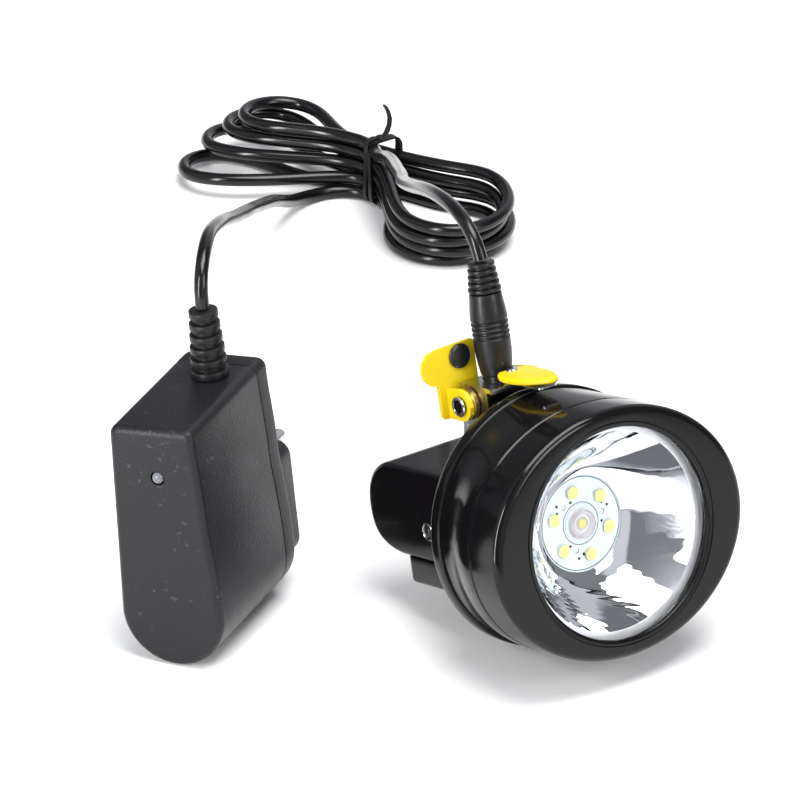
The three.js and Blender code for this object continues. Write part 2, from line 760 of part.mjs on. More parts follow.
function plugParts() {
  const barrel = turnedZ([
    [1.2, towerTop - barrelLength],
    [barrelRadius, towerTop - barrelLength],
    [barrelRadius, plugFoot - 0.02],
    [1.2, plugFoot - 0.02],
    [1.2, towerTop - barrelLength],
  ]);
  const grooves = [];
  const grooveStart = plugFoot + 13.4;
  for (let i = 0; i < 4; i += 1) {
    const z = grooveStart + 1.5 * i;
    grooves.push([plugRadius, z], [plugRadius - 0.45, z + 0.25], [plugRadius - 0.45, z + 0.7],
      [plugRadius, z + 0.95]);
  }
  const grip = turnedZ([
    [0, plugFoot + GAP],
    [4, plugFoot + GAP],
    [4, plugFoot + 2.4],
    [4.6, plugFoot + 3],
    [5.1, plugFoot + 6],
    [plugRadius, plugFoot + 9],
    ...grooves,
    [plugRadius + 0.1, plugFoot + 20],
    [plugRadius - 0.1, plugFoot + 22],
    [plugRadius - 0.5, plugFoot + 25],
    [plugRadius - 0.6, gripTop - 0.4],
    [plugRadius - 1, gripTop],
    [0, gripTop],
  ]);
  const relief = turnedZ(ringedProfile(plugReliefLength, 4.9, 4, 5, 1.2))
    .translate(0, 0, gripTop + GAP);
  return [
    part('dc_plug_barrel', 'steel', barrel.translate(0, plugAxisY, 0)),
    part('dc_plug_grip', 'rubber', grip.translate(0, plugAxisY, 0)),
    part('dc_plug_relief', 'rubber', relief.translate(0, plugAxisY, 0)),
  ];
}

// ---------------------------------------------------------------- the lamp, stood on its surface

const lamp = new THREE.Group();
lamp.add(
  frontBezel(), ...windowParts(), reflector(), ...lights(), headShell(), ...rearParts(),
  ...flangeScrews(), tower(), jack(), bracket(), bracketPin(), ...hingeSide(-1, 'left'),
  ...hingeSide(1, 'right'), ...hookPlate(), ...tongueParts());

lamp.rotation.x = -THREE.MathUtils.degToRad(restPitch);
const lampBox = new THREE.Box3().setFromObject(lamp, true);
const middle = lampBox.getCenter(new THREE.Vector3());
lamp.position.set(-middle.x, -middle.y, -lampBox.min.z);
const plug = new THREE.Group();
plug.rotation.copy(lamp.rotation);
plug.position.copy(lamp.position);
plug.add(...plugParts());

// ---------------------------------------------------------------- charger

// Seen from the front: a round foot, sides that come in towards the top, the right one in an S.
function chargerOutline(inset) {
  const foot = chargerFootRadius - inset;
  const top = chargerHeight - inset;
  const half = chargerTopWidth / 2 - inset;
  const corner = 3 - inset * 0.5;
  const shape = new THREE.Shape();
  shape.absarc(0, chargerFootRadius, foot, Math.PI, 2 * Math.PI);
  const waist = half + 1;
  shape.bezierCurveTo(
    foot, chargerFootRadius + 16, waist, chargerHeight - 34, waist, chargerHeight - 28);
  shape.bezierCurveTo(waist, chargerHeight - 16, half, chargerHeight - 12, half, top - corner);
  shape.absarc(half - corner, top - corner, corner, 0, Math.PI / 2);
  shape.absarc(-half + corner, top - corner, corner, Math.PI / 2, Math.PI);
  shape.lineTo(-foot, chargerFootRadius);
  return shape;
}

function chargerParts() {
  const seam = chargerDepth;
  const back = seam + GAP + chargerBackDepth;
  const ledge = chargerHeight + GAP;
  const reliefHole = solid(turnedZ(discProfile(3.4, chargerHeight - 8, chargerHeight + 1))
    .translate(...chargerReliefPlace, 0));
  const [ledX, ledZ] = chargerLedPlace;
  const ledHole = solid(turnedY(discProfile(2.2, -1, 4), SMALL_ROUND).translate(ledX, 0, ledZ));
  const front = solid(extrudedY(chargerOutline(0), 0, seam, 2.2))
    .subtract(solid(extrudedY(chargerOutline(chargerWall), chargerWall, seam + 5)))
    .subtract(reliefHole).subtract(ledHole);
  // The front shell's rear edge is square, so its bevel is filled up to the seam.
  const rim = solid(extrudedY(chargerOutline(0), seam - 4, seam))
    .subtract(solid(extrudedY(chargerOutline(chargerWall), seam - 6, seam + 5)));
  const baseOutline = roundedRect(plugBaseWidth, plugBaseHeight, 5, 0, plugBaseZ);
  const backShell = solid(extrudedY(chargerOutline(0), seam + GAP, back, 2))
    .add(solid(extrudedY(chargerOutline(0), seam + GAP, seam + 3)))
    .add(solid(extrudedY(baseOutline, back - 2, back + plugBaseDepth, 2)))
    .subtract(solid(extrudedY(chargerOutline(chargerWall), seam - 1, back - chargerWall)));
  const pieces = [
    part('charger_front_shell', 'matteBlack', front.add(rim)),
    part('charger_led', 'clear', turnedY([
      [0, -1],
      [1, -0.8],
      [1.8, 0.2],
      [1.8, 3],
      [0, 3],
    ], SMALL_ROUND).translate(ledX, 0, ledZ)),
  ];
  const base = back + plugBaseDepth;
  let shell = backShell;
  for (const [side, name] of [[-1, 'lower'], [1, 'upper']]) {
    const z = plugBaseZ + (side * pinSpacing) / 2;
    const socket = turnedY(discProfile(pinRadius + GAP, base - 6, base + 1), SMALL_ROUND);
    shell = shell.subtract(solid(socket.translate(0, 0, z)));
    const pin = turnedY([
      [0, base - 6 + GAP],
      [pinRadius, base - 6 + GAP],
      [pinRadius, base + pinLength - 1],
      [pinRadius - 0.8, base + pinLength],
      [0, base + pinLength],
    ], SMALL_ROUND).translate(0, 0, z);
    pieces.push(part(`mains_pin_${name}`, 'steel', pin));
  }
  pieces.push(part('charger_back_shell', 'matteBlack', shell));
  pieces.push(part('charger_board', 'green',
    extrudedX(roundedRect(32, 44, 2, 24, 36), -5.6, -4)));
  pieces.push(part('charger_transformer', 'yellow',
    extruded(roundedRect(9, 18, 1, 1, 26), 26, 44)));
  const relief = turnedZ(ringedProfile(chargerReliefLength, 5.6, 4.3, 6, 1.2))
    .translate(0, 0, ledge);
  const tail = turnedZ(discProfile(3, chargerHeight - 6, ledge + 1));
  pieces.push(part('charger_relief', 'rubber',
    join(relief, tail).translate([...chargerReliefPlace, 0])));
  return pieces;
}

const charger = new THREE.Group();
charger.add(...chargerParts());
charger.rotation.order = 'ZYX';
charger.rotation.z = THREE.MathUtils.degToRad(chargerTurn);
charger.rotation.y = -THREE.MathUtils.degToRad(chargerLean);
charger.position.set(chargerPlace[0], chargerPlace[1], 0);
const chargerBox = new THREE.Box3().setFromObject(charger, true);
charger.position.z = -chargerBox.min.z;

// ---------------------------------------------------------------- cord

// The middle of the cord from the charger's relief down to the tie, and from the plug's relief.
const chargerLeg = [
  [-71.6, 68, 96.9], [-71.2, 69.2, 103.2], [-67.5, 73.4, 108.8], [-61.5, 80, 110.8],
  [-54, 88.5, 108.5], [-45, 98, 104.3], [-35, 109, 98.3], [-20, 126.5, 88], [-4, 146, 76.8],
  [28, 185, 54.6], [44, 204, 43.6], [60, 223, 32.6], [74, 239.5, 22.8], [86, 253, 14.2],
  [94, 260.8, 8.8], [101, 266.3, 5], [107, 269.5, 3], [113, 270.3, 2.2], [118.8, 269, 2.1],
];
const plugLeg = [
  [0, 30.2, 106.4], [0, 32.6, 110.6], [0.6, 37.6, 114.2], [2.6, 46.5, 115.6], [6.4, 58, 113.6],
  [12, 71.5, 109], [20, 88, 101.5], [30.5, 107, 92], [43, 127.5, 81.8], [68, 163, 63.2],
  [82, 184.5, 53.2], [95, 204.5, 44], [105.5, 222.5, 35.8], [114, 237, 28], [120, 247, 23.2],
  [124.5, 254.5, 20.2],
];

// Round the folds at the hank's far end, in past the tie, and round its loops at the near end.
function hankOutline() {
  const [x, y] = hankWaist;
  const half = hankNeck / 2;
  const foldRadius = 15.5;
  const loopTurn = THREE.MathUtils.degToRad(54);
  const outline = new THREE.Shape();
  outline.moveTo(x + half, y + 3);
  outline.absarc(x - 9.8, y + 39, foldRadius, 0, 0.4 * Math.PI);
  outline.absarc(x - 19.8, y + 45.7, foldRadius, 0.4 * Math.PI, 0.6 * Math.PI);
  outline.absarc(x - 31.9, y + 41.3, foldRadius, 0.6 * Math.PI, 1.28 * Math.PI);
  outline.lineTo(x - half, y + 3);
  outline.lineTo(x - half, y - 3);
  outline.absellipse(x, y - 36.7, 25.5, 21, 0.4 * Math.PI, 1.92 * Math.PI, false, loopTurn);
  outline.lineTo(x + half, y - 3);
  return outline;
}

function cordParts() {
  const section = new THREE.Shape();
  section.absarc(0, 0, cordDiameter / 2, 0, 2 * Math.PI);
  const [x, y] = hankWaist;
  // The hank with a clearance all round, which the legs stop at.
  const clearance = solid(new THREE.ExtrudeGeometry(hankOutline(), {
    depth: hankHeight + 2 * GAP,
    bevelSize: GAP,
    bevelThickness: 0.01,
    bevelSegments: 1,
    curveSegments: 6,
  }).translate(0, 0, -GAP));
  const leg = (name, points) => {
    const path = new THREE.CatmullRomCurve3(points.map((p) => new THREE.Vector3(...p)), false);
    const steps = Math.round(path.getLength() / (2.6 * cordDiameter));
    const tube = new THREE.ExtrudeGeometry(section, { steps, extrudePath: path, curveSegments: 8 });
    return part(name, 'rubber', solid(tube).subtract(clearance));
  };
  const hank = solid(new THREE.ExtrudeGeometry(hankOutline(), {
    depth: hankHeight, bevelEnabled: false, curveSegments: 6,
  }));
  // The tie is a loop round the neck, and the hank is cut up to let it pass underneath.
  const [tieFront, tieBack] = [y - tieWidth / 2, y + tieWidth / 2];
  const under = extrudedY(
    roundedRect(2 * hankNeck, 2 * (tieThick + 2 * GAP), 0.1, x), tieFront - GAP, tieBack + GAP);
  const loopHeight = hankHeight + 2 * GAP - tieThick;
  const loopWidth = hankNeck + 2 * GAP;
  const loopMiddle = GAP + tieThick + loopHeight / 2;
  const ring = solid(extrudedY(
    roundedRect(loopWidth + 2 * tieThick, loopHeight + 2 * tieThick, 2, x, loopMiddle),
    tieFront, tieBack));
  const hole = solid(extrudedY(
    roundedRect(loopWidth, loopHeight, 0.2, x, loopMiddle), tieFront - 1, tieBack + 1));
  return [
    leg('cord_charger_leg', chargerLeg),
    leg('cord_plug_leg', plugLeg),
    part('cord_hank', 'rubber', hank.subtract(solid(under))),
    part('twist_tie', 'matteBlack', ring.subtract(hole)),
  ];
}

// ---------------------------------------------------------------- the whole set

const group = new THREE.Group();
group.add(lamp, plug, charger, ...cordParts());
group.updateMatrixWorld(true);

export default group;
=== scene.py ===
# %% [markdown]
# # A miner's cap lamp on its charger
#
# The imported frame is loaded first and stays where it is. Every piece below is made in the frame's
# own coordinates, so nothing is fitted afterwards. Lengths in the cells are in millimetres, and
# one helper turns them into metres.

# %% Load the frame
import json
import math

import bmesh
import bpy
import numpy as np
from mathutils import Matrix, Vector


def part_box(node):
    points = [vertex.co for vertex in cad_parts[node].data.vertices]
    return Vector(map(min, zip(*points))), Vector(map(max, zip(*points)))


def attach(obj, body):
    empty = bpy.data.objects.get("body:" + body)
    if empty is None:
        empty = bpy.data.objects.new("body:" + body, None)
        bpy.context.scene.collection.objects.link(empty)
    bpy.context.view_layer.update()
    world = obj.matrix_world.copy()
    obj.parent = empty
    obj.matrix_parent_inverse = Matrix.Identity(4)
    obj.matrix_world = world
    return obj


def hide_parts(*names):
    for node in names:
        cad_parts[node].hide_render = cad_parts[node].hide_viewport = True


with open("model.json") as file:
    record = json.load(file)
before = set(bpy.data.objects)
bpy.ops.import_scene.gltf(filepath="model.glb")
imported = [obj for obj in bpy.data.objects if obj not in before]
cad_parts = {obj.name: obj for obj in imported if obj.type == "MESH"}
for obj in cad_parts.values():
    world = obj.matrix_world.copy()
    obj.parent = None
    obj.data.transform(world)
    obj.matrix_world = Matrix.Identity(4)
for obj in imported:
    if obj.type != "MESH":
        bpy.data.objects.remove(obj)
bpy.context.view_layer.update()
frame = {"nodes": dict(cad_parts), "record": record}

MM = 0.001

# %% [markdown]
# ## Where the lamp and the charger stand
#
# The lamp is pitched up on its flange and the charger leans a little on its round foot. Two
# matrices hold that, so each piece can be drawn square to its own housing. The lamp's matrix is
# read from the frame: the window's seal is a plain ring, so the middle of its box is a point of
# the optical axis, a known way behind the bezel's face.

# %% Two local frames
LAMP_PITCH = math.radians(14)
SEAL_MIDDLE = 3.1
CHARGER_TURN = math.radians(-59)
CHARGER_LEAN = math.radians(-6)
CHARGER_PLACE = (-100.1, 41.6, 0.088)


def middle(node):
    low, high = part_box(node)
    return (Vector(low) + Vector(high)) / 2


pitch = Matrix.Rotation(-LAMP_PITCH, 4, "X")
face_centre = middle("lens_gasket") - pitch @ Vector((0, SEAL_MIDDLE * MM, 0))
LAMP = Matrix.Translation(face_centre) @ pitch
CHARGER = (Matrix.Translation(Vector(CHARGER_PLACE) * MM)
           @ Matrix.Rotation(CHARGER_TURN, 4, "Z") @ Matrix.Rotation(CHARGER_LEAN, 4, "Y"))
print("lamp face at", [round(v, 4) for v in face_centre])

# %% [markdown]
# ## The camera
#
# A long lens from far off keeps the lamp's round parts free of perspective. The camera looks down
# from the lamp's right front, so both the window and the round rear housing show.

# %% Camera
CAMERA_DISTANCE = 2.5
CAMERA_TARGET = (-0.0413, 0.0130, 0.0805)
CAMERA_LENS = 393.7
CAMERA_SENSOR = 36


def add_object(name, data):
    item = bpy.data.objects.new(name, data)
    bpy.context.scene.collection.objects.link(item)
    return item


def aimed(name, data, azimuth, elevation, distance, target):
    turn, rise = math.radians(azimuth), math.radians(elevation)
    away = Vector((math.sin(turn) * math.cos(rise), -math.cos(turn) * math.cos(rise),
                   math.sin(rise)))
    item = add_object(name, data)
    item.location = Vector(target) + away * distance
    item.rotation_euler = away.to_track_quat("Z", "Y").to_euler()
    return item


camera = aimed("camera", bpy.data.cameras.new("camera"), -36, 27, CAMERA_DISTANCE, CAMERA_TARGET)
camera.data.sensor_width = CAMERA_SENSOR
camera.data.lens = CAMERA_LENS
camera.data.clip_end = 20
bpy.context.scene.camera = camera
print("camera at", [round(v, 3) for v in camera.location])

# %% [markdown]
# ## The cord
#
# One cord runs from the charging plug to the charger. Its spare length is folded back and forth
# and tied in the middle, so it is a bundle of long folds on one side of the tie and of round
# loops on the other. The two free legs are drawn point by point. The bundle's turns are
# worked out by a loop, each a little over one thickness of cord above the last.

# %% The route's points
CORD = 4.1
LAYER = 4.3
TIE_PLACE = np.array([130.0, 258.0])
STRAND_SIDE = 2.9
FOLD_RADIUS = 13.4
FOLD_HALF = 5.5
TIE_REACH = -4
CORD_STEP = 0.0025

charger_leg = [
    [-71.6, 68, 96.9], [-71.2, 69.2, 103.2], [-67.5, 73.4, 108.8], [-61.5, 80, 110.8],
    [-54, 88.5, 108.5], [-45, 98, 104.3], [-35, 109, 98.3], [-20, 126.5, 88], [-4, 146, 76.8],
    [28, 185, 54.6], [44, 204, 43.6], [60, 223, 32.6], [74, 239.5, 22.8], [86, 253, 14.2],
    [94, 260.8, 8.8], [101, 266.3, 5], [107, 269.5, 3], [113, 270.3, 2.2], [118.8, 269, 2.1],
]
first_bend = [[123.4, 265.6, 2.05], [126.2, 261, 2.05], [127, 254.5, 2.05], [123.5, 244.5, 2.05]]
plug_leg = [
    [0, 30.2, 106.4], [0, 32.6, 110.6], [0.6, 37.6, 114.2], [2.6, 46.5, 115.6],
    [6.4, 58, 113.6], [12, 71.5, 109], [20, 88, 101.5], [30.5, 107, 92], [43, 127.5, 81.8],
    [68, 163, 63.2], [82, 184.5, 53.2], [95, 204.5, 44], [105.5, 222.5, 35.8], [114, 237, 28],
    [120, 247, 23.2], [124.5, 254.5, 20.2],
]
fold_tips = [(90, 311), (105, 317), (113, 315), (117, 311)]
loops = [(130, 224, 20, 18), (131, 222.5, 22, 18.5), (129, 222, 22, 17.5), (130, 221, 23, 18)]
loop_long = np.array([0.588, 0.809])
loop_wide = np.array([0.809, -0.588])


def height(layer):
    return CORD / 2 + LAYER * layer


def at_tie(along, side, layer):
    run = np.array([0.06, -1.0])
    run /= np.linalg.norm(run)
    across = np.array([-run[1], run[0]])
    x, y = TIE_PLACE + run * along + across * side * STRAND_SIDE
    return [x, y, height(layer)]


def loop_points(turn):
    x, y, long, wide = loops[turn]
    points = []
    for degrees in (262, 218, 174, 130, 86, 42, 2):
        angle = math.radians(degrees)
        place = (np.array([x, y]) + loop_long * long * math.cos(angle)
                 + loop_wide * wide * math.sin(angle))
        points.append([*place, height(turn)])
    return points


def fold_points(turn):
    tip = np.array(fold_tips[turn], float)
    run = tip - TIE_PLACE
    reach = np.linalg.norm(run)
    run /= reach
    side = np.array([run[1], -run[0]])
    centre = tip - run * FOLD_RADIUS
    part_way = TIE_PLACE + run * reach * 0.42
    points = [[*(part_way + side * FOLD_HALF), height(turn)]]
    for degrees in (90, 45, 0, -45, -90):
        angle = math.radians(degrees)
        place = centre + FOLD_RADIUS * (run * math.cos(angle) + side * math.sin(angle))
        points.append([*place, height(turn + 0.5 - degrees / 180)])
    points.append([*(part_way - side * FOLD_HALF), height(turn + 1)])
    return points


route = charger_leg + first_bend
for turn in range(len(loops)):
    route += loop_points(turn) + [at_tie(TIE_REACH, 1, turn)]
    route += fold_points(turn) + [at_tie(TIE_REACH, -1, turn + 1)]
route = np.array((route + plug_leg[::-1])[::-1]) * MM
print("points on the route", len(route))

# %% [markdown]
# A curve through the points must bend smoothly, or the cord looks kinked. A cubic spline does
# that: solving for the slope at each point makes the bend agree on both sides of it.

# %% The smooth cord


def smooth_curve(points, step):
    spans = np.linalg.norm(np.diff(points, axis=0), axis=1) ** 0.7
    count = len(points)
    system = np.zeros((count, count))
    right = np.zeros((count, 3))
    system[0, 0] = system[-1, -1] = 1
    for i in range(1, count - 1):
        before, after = spans[i - 1], spans[i]
        system[i, i - 1:i + 2] = before, 2 * (before + after), after
        right[i] = 6 * ((points[i + 1] - points[i]) / after - (points[i] - points[i - 1]) / before)
    bend = np.linalg.solve(system, right)
    dense = []
    for i in range(count - 1):
        h = spans[i]
        for t in np.linspace(0, h, 40, endpoint=False):
            a, b = (h - t) / h, t / h
            dense.append(a * points[i] + b * points[i + 1]
                         + ((a ** 3 - a) * bend[i] + (b ** 3 - b) * bend[i + 1]) * h * h / 6)
    dense = np.array(dense + [points[-1]])
    lengths = np.concatenate([[0], np.cumsum(np.linalg.norm(np.diff(dense, axis=0), axis=1))])
    places = np.linspace(0, lengths[-1], int(lengths[-1] / step) + 1)
    even = np.stack([np.interp(places, lengths, dense[:, k]) for k in range(3)], axis=1)
    return even, float(lengths[-1])


cord_line, cord_length = smooth_curve(route, CORD_STEP)
# The curve can dip a little between two points, so the cord is held on the floor.
cord_line[:, 2] = np.maximum(cord_line[:, 2], CORD / 2 * MM)
cord_data = bpy.data.curves.new("charging_cord", "CURVE")
cord_data.dimensions = "3D"
cord_data.bevel_depth = CORD / 2 * MM
cord_data.bevel_resolution = 5
cord_data.use_fill_caps = True
spline = cord_data.splines.new("POLY")
spline.points.add(len(cord_line) - 1)
spline.points.foreach_set("co", np.c_[cord_line, np.ones(len(cord_line))].ravel())
spline.use_smooth = True
charging_cord = add_object("charging_cord", cord_data)
print("cord length", round(cord_length, 3))

# %% [markdown]
# ## Effects that several materials share
#
# Moulded plastic, paint and rubber are never quite even. Three small node groups make what they
# have in common: a fine grain for the Bump node, scuffs as thin broken lines, and a soft mottle
# that makes some places duller than others. Each material sets the strengths for itself.

# %% Node helpers


class Nodes:
    def __init__(self, tree):
        self.tree = tree

    def add(self, kind, inputs=None, **settings):
        node = self.tree.nodes.new(kind)
        for name, value in settings.items():
            setattr(node, name, value)
        for name, value in (inputs or {}).items():
            if isinstance(value, bpy.types.NodeSocket):
                self.link(value, node.inputs[name])
            else:
                node.inputs[name].default_value = value
        return node

    def link(self, source, target):
        self.tree.links.new(source, target)

    def maths(self, operation, *values):
        node = self.add("ShaderNodeMath", dict(enumerate(values)), operation=operation)
        return node.outputs[0]

    def noise(self, vector, scale, detail=2.0):
        inputs = {"Vector": vector, "Scale": scale, "Detail": detail}
        return self.add("ShaderNodeTexNoise", inputs).outputs["Fac"]

    def place(self, kind):
        return self.add("ShaderNodeTexCoord").outputs[kind]

    def masked(self, group, **inputs):
        return self.add("ShaderNodeGroup", inputs, node_tree=group).outputs[0]

    def bump(self, shader, height, strength, distance):
        node = self.add("ShaderNodeBump", {"Height": height, "Strength": strength,
                                           "Distance": distance})
        self.link(node.outputs["Normal"], shader["Normal"])

    def ramp(self, factor, stops):
        node = self.add("ShaderNodeValToRGB", {"Fac": factor})
        elements = node.color_ramp.elements
        for element, (place, value) in zip(elements, stops):
            element.position = place
            element.color = (*value, 1) if isinstance(value, tuple) else (value, value, value, 1)
        return node.outputs["Color"]

    def number(self, factor, low, high):
        node = self.add("ShaderNodeMapRange", {"Value": factor, "To Min": low, "To Max": high})
        return node.outputs["Result"]

    def mix(self, factor, first, second):
        inputs = {0: factor, 6: first, 7: second}
        return self.add("ShaderNodeMix", inputs, data_type="RGBA").outputs[2]


def new_group(name, output, **inputs):
    tree = bpy.data.node_groups.new(name, "ShaderNodeTree")
    for label, value in inputs.items():
        socket = tree.interface.new_socket(label, in_out="INPUT", socket_type="NodeSocketFloat")
        socket.default_value = value
    tree.interface.new_socket(output, in_out="OUTPUT", socket_type="NodeSocketFloat")
    nodes = Nodes(tree)
    return (nodes, nodes.add("NodeGroupInput").outputs, nodes.place("Object"),
            nodes.add("NodeGroupOutput").inputs[output])


print("helpers ready")

# %% Grain, scuffs and mottle
nodes, given, place, result = new_group("fine_grain", "Height", Scale=900.0)
pores = nodes.add("ShaderNodeTexVoronoi", {"Vector": place, "Scale": given["Scale"]})
fine = nodes.noise(place, given["Scale"], 3.0)
nodes.link(nodes.maths("MULTIPLY", fine, pores.outputs["Distance"]), result)
fine_grain = nodes.tree

nodes, given, place, result = new_group("scuffs", "Mask", Scale=60.0, Sparseness=0.66)
lines = []
for turn, stretch in ((0.5, (1.0, 14.0, 14.0)), (1.9, (14.0, 1.0, 14.0))):
    streaks = nodes.add("ShaderNodeMapping", {"Vector": place, "Scale": stretch,
                                              "Rotation": (turn, 0.4, turn)})
    noise = nodes.noise(streaks.outputs["Vector"], given["Scale"])
    sharp = nodes.add("ShaderNodeMapRange", {
        "Value": noise, "From Min": given["Sparseness"], "From Max": 0.76})
    lines.append(sharp.outputs["Result"])
patches = nodes.ramp(nodes.noise(place, 55.0), [(0.52, 0.0), (0.62, 1.0)])
nodes.link(nodes.maths("MULTIPLY", nodes.maths("MAXIMUM", *lines), patches), result)
scuffs = nodes.tree

nodes, given, place, result = new_group("mottle", "Mask", Scale=30.0)
clouds = nodes.noise(place, given["Scale"], 5.0)
nodes.link(nodes.ramp(clouds, [(0.35, 0.0), (0.7, 1.0)]), result)
mottle = nodes.tree
print("groups", fine_grain.name, scuffs.name, mottle.name)

# %% [markdown]
# ## Finishes
#
# `finish` makes a material from its base colour and the three effects: how deep the grain is, how
# many scuffs it has and how far its roughness wanders. The record names one slot for each kind of
# finish, so each material is kept under its slot's name.

# %% One function for most finishes


def rgba(value):
    return (*value, 1.0)


def new_material(name, **settings):
    material = bpy.data.materials.new(name)
    material.use_nodes = True
    shader = material.node_tree.nodes["Principled BSDF"].inputs
    for label, value in settings.items():
        shader[label.replace("_", " ")].default_value = value
    return material, Nodes(material.node_tree), shader


def finish(name, colour, rough, worn=None, metallic=0.0, grain=0.0, grain_scale=900.0,
           scuff=0.0, scuff_scale=60.0, uneven=0.06, specular=0.5, coat=0.0):
    material, nodes, shader = new_material(
        name, Metallic=metallic, Specular_IOR_Level=specular, Coat_Weight=coat,
        Coat_Roughness=0.04)
    worn = worn or tuple(min(1.0, 1.8 * c + 0.05) for c in colour)

    clouds = nodes.masked(mottle)
    softer = tuple(c * 0.86 for c in colour)
    shade = nodes.mix(clouds, rgba(colour), rgba(softer))
    amount = nodes.maths("MULTIPLY", nodes.masked(scuffs, Scale=scuff_scale), scuff)
    nodes.link(nodes.mix(amount, shade, rgba(worn)), shader["Base Color"])

    dull = nodes.number(clouds, max(0.02, rough - uneven), rough + uneven)
    rougher = nodes.maths("MULTIPLY", amount, 0.35)
    nodes.link(nodes.maths("ADD", dull, rougher), shader["Roughness"])
    if grain > 0:
        nodes.bump(shader, nodes.masked(fine_grain, Scale=grain_scale), grain, 0.0002)
    return material


finishes = {
    "shell_gloss": finish("moulded_gloss_black", (0.003, 0.0026, 0.003), 0.13,
                          worn=(0.05, 0.05, 0.055), scuff=0.12, scuff_scale=90, uneven=0.03,
                          grain=0.03, grain_scale=260, specular=0.25),
    "charger_matte": finish("charger_plastic", (0.0065, 0.0065, 0.0085), 0.42,
                            worn=(0.11, 0.11, 0.12), grain=0.5, grain_scale=1500, scuff=0.5,
                            scuff_scale=30, uneven=0.07, specular=0.3),
    "fitting_matte": finish("fitting_plastic", (0.006, 0.006, 0.007), 0.34, grain=0.35, scuff=0.2),
    "rubber_black": finish("soft_rubber", (0.007, 0.0065, 0.0075), 0.38, grain=0.3,
                           grain_scale=1200, scuff=0.12, uneven=0.08, specular=0.3),
    "cord_black": finish("cord_sheath", (0.0025, 0.0025, 0.003), 0.22, grain=0.08,
                         grain_scale=500, scuff=0.06, uneven=0.05, specular=0.36),
    "hook_yellow": finish("yellow_paint", (0.66, 0.49, 0.002), 0.42, worn=(0.62, 0.5, 0.02),
                          grain=0.16, grain_scale=420, scuff=0.3, scuff_scale=45, specular=0.4),
    "steel": finish("bright_steel", (0.6, 0.6, 0.61), 0.2, worn=(0.3, 0.29, 0.28), metallic=1.0,
                    grain=0.12, grain_scale=1600, scuff=0.5, scuff_scale=120, uneven=0.08),
    "brass": finish("old_brass", (0.43, 0.29, 0.075), 0.3, worn=(0.16, 0.1, 0.03), metallic=1.0,
                    grain=0.2, scuff=0.6, scuff_scale=140, uneven=0.12),
    "contact_nickel": finish("contact_nickel", (0.66, 0.64, 0.6), 0.14, metallic=1.0, grain=0.05,
                             scuff=0.2, uneven=0.05),
    "aluminium": finish("turned_aluminium", (0.72, 0.72, 0.73), 0.3, metallic=1.0, grain=0.2,
                        scuff=0.3),
    "indicator_red": finish("indicator_red", (0.45, 0.008, 0.008), 0.16, coat=0.5, scuff=0.05),
    "circuit_board": finish("circuit_board", (0.012, 0.1, 0.035), 0.4, grain=0.2, scuff=0.15),
    "cell_wrap": finish("cell_wrap", (0.02, 0.08, 0.32), 0.3, grain=0.1, scuff=0.1),
    "transformer_tape": finish("winding_tape", (0.7, 0.55, 0.05), 0.42, grain=0.3, scuff=0.1),
    "led_board": finish("board_white", (0.83, 0.93, 0.97), 0.4, worn=(0.7, 0.8, 0.85), grain=0.1,
                        scuff=0.15, coat=0.15),
    "phosphor": finish("phosphor", (0.93, 0.88, 0.3), 0.35, worn=(0.98, 0.95, 0.6), grain=0.3,
                       grain_scale=2500, scuff=0.3, coat=0.3),
}
spun_rim = finish("satin_rim", (0.95, 0.95, 0.96), 0.42, metallic=0.6, grain=0.1,
                  grain_scale=1500, scuff=0.1)
print("finishes", len(bpy.data.materials))

# %% [markdown]
# The window, the dome and the charger's light let light through. The mirror was spun and then
# aluminised, so it keeps faint rings round its axis.

# %% Window, dome and mirror


def mottled(nodes, shader, scale, first, second, low, high):
    clouds = nodes.masked(mottle, Scale=scale)
    nodes.link(nodes.mix(clouds, rgba(first), rgba(second)), shader["Base Color"])
    nodes.link(nodes.number(clouds, low, high), shader["Roughness"])


def clear_finish(name, colour, rough, through, ior):
    material, nodes, shader = new_material(name, Transmission_Weight=through, IOR=ior)
    darker = tuple(c * 0.97 for c in colour)
    mottled(nodes, shader, 55.0, colour, darker, rough, rough + 0.02)
    return material


finishes["window_clear"] = clear_finish("window_clear", (0.98, 0.99, 1.0), 0.0, 1.0, 1.12)
finishes["dome_clear"] = clear_finish("dome_clear", (1.0, 0.93, 0.92), 0.03, 1.0, 1.14)
led_grey = clear_finish("led_grey", (0.2, 0.21, 0.23), 0.12, 0.3, 1.4)

finishes["mirror"], nodes, shader = new_material("spun_mirror", Metallic=1.0)
mottled(nodes, shader, 25.0, (0.86, 0.86, 0.87), (0.74, 0.75, 0.77), 0.02, 0.05)
spin = nodes.add("ShaderNodeTexWave", {"Vector": nodes.place("Generated"), "Scale": 6.0,
                                       "Distortion": 1.5, "Detail": 2.0},
                 wave_type="RINGS", rings_direction="SPHERICAL")
nodes.bump(shader, spin.outputs["Fac"], 0.05, 0.0003)
print("materials", len(bpy.data.materials))

# %% Finishes for the nodes that stay visible
slot_of = {entry["node"]: entry["material_slot"] for entry in frame["record"]["subparts"]}
for name, node in frame["nodes"].items():
    node.data.materials.clear()
    node.data.materials.append(finishes[slot_of[name]])
print("slots", len(finishes))

# %% [markdown]
# ## Making shapes
#
# Most of the lamp is turned or moulded. `turned` spins a profile of radius and height into a
# closed shape with many more sides than the frame's solid has. `slab` draws an outline out
# between two heights and rounds both of its edges, as a moulding is. Both give plain lists, which
# `piece` turns into an object that rides on a body and stands for its CAD node.

# %% Shape helpers
TURNED_SIDES = 128
AXES = {"Z": lambda p: p, "Y": lambda p: (p[0], p[2], p[1]), "X": lambda p: (p[2], p[0], p[1])}


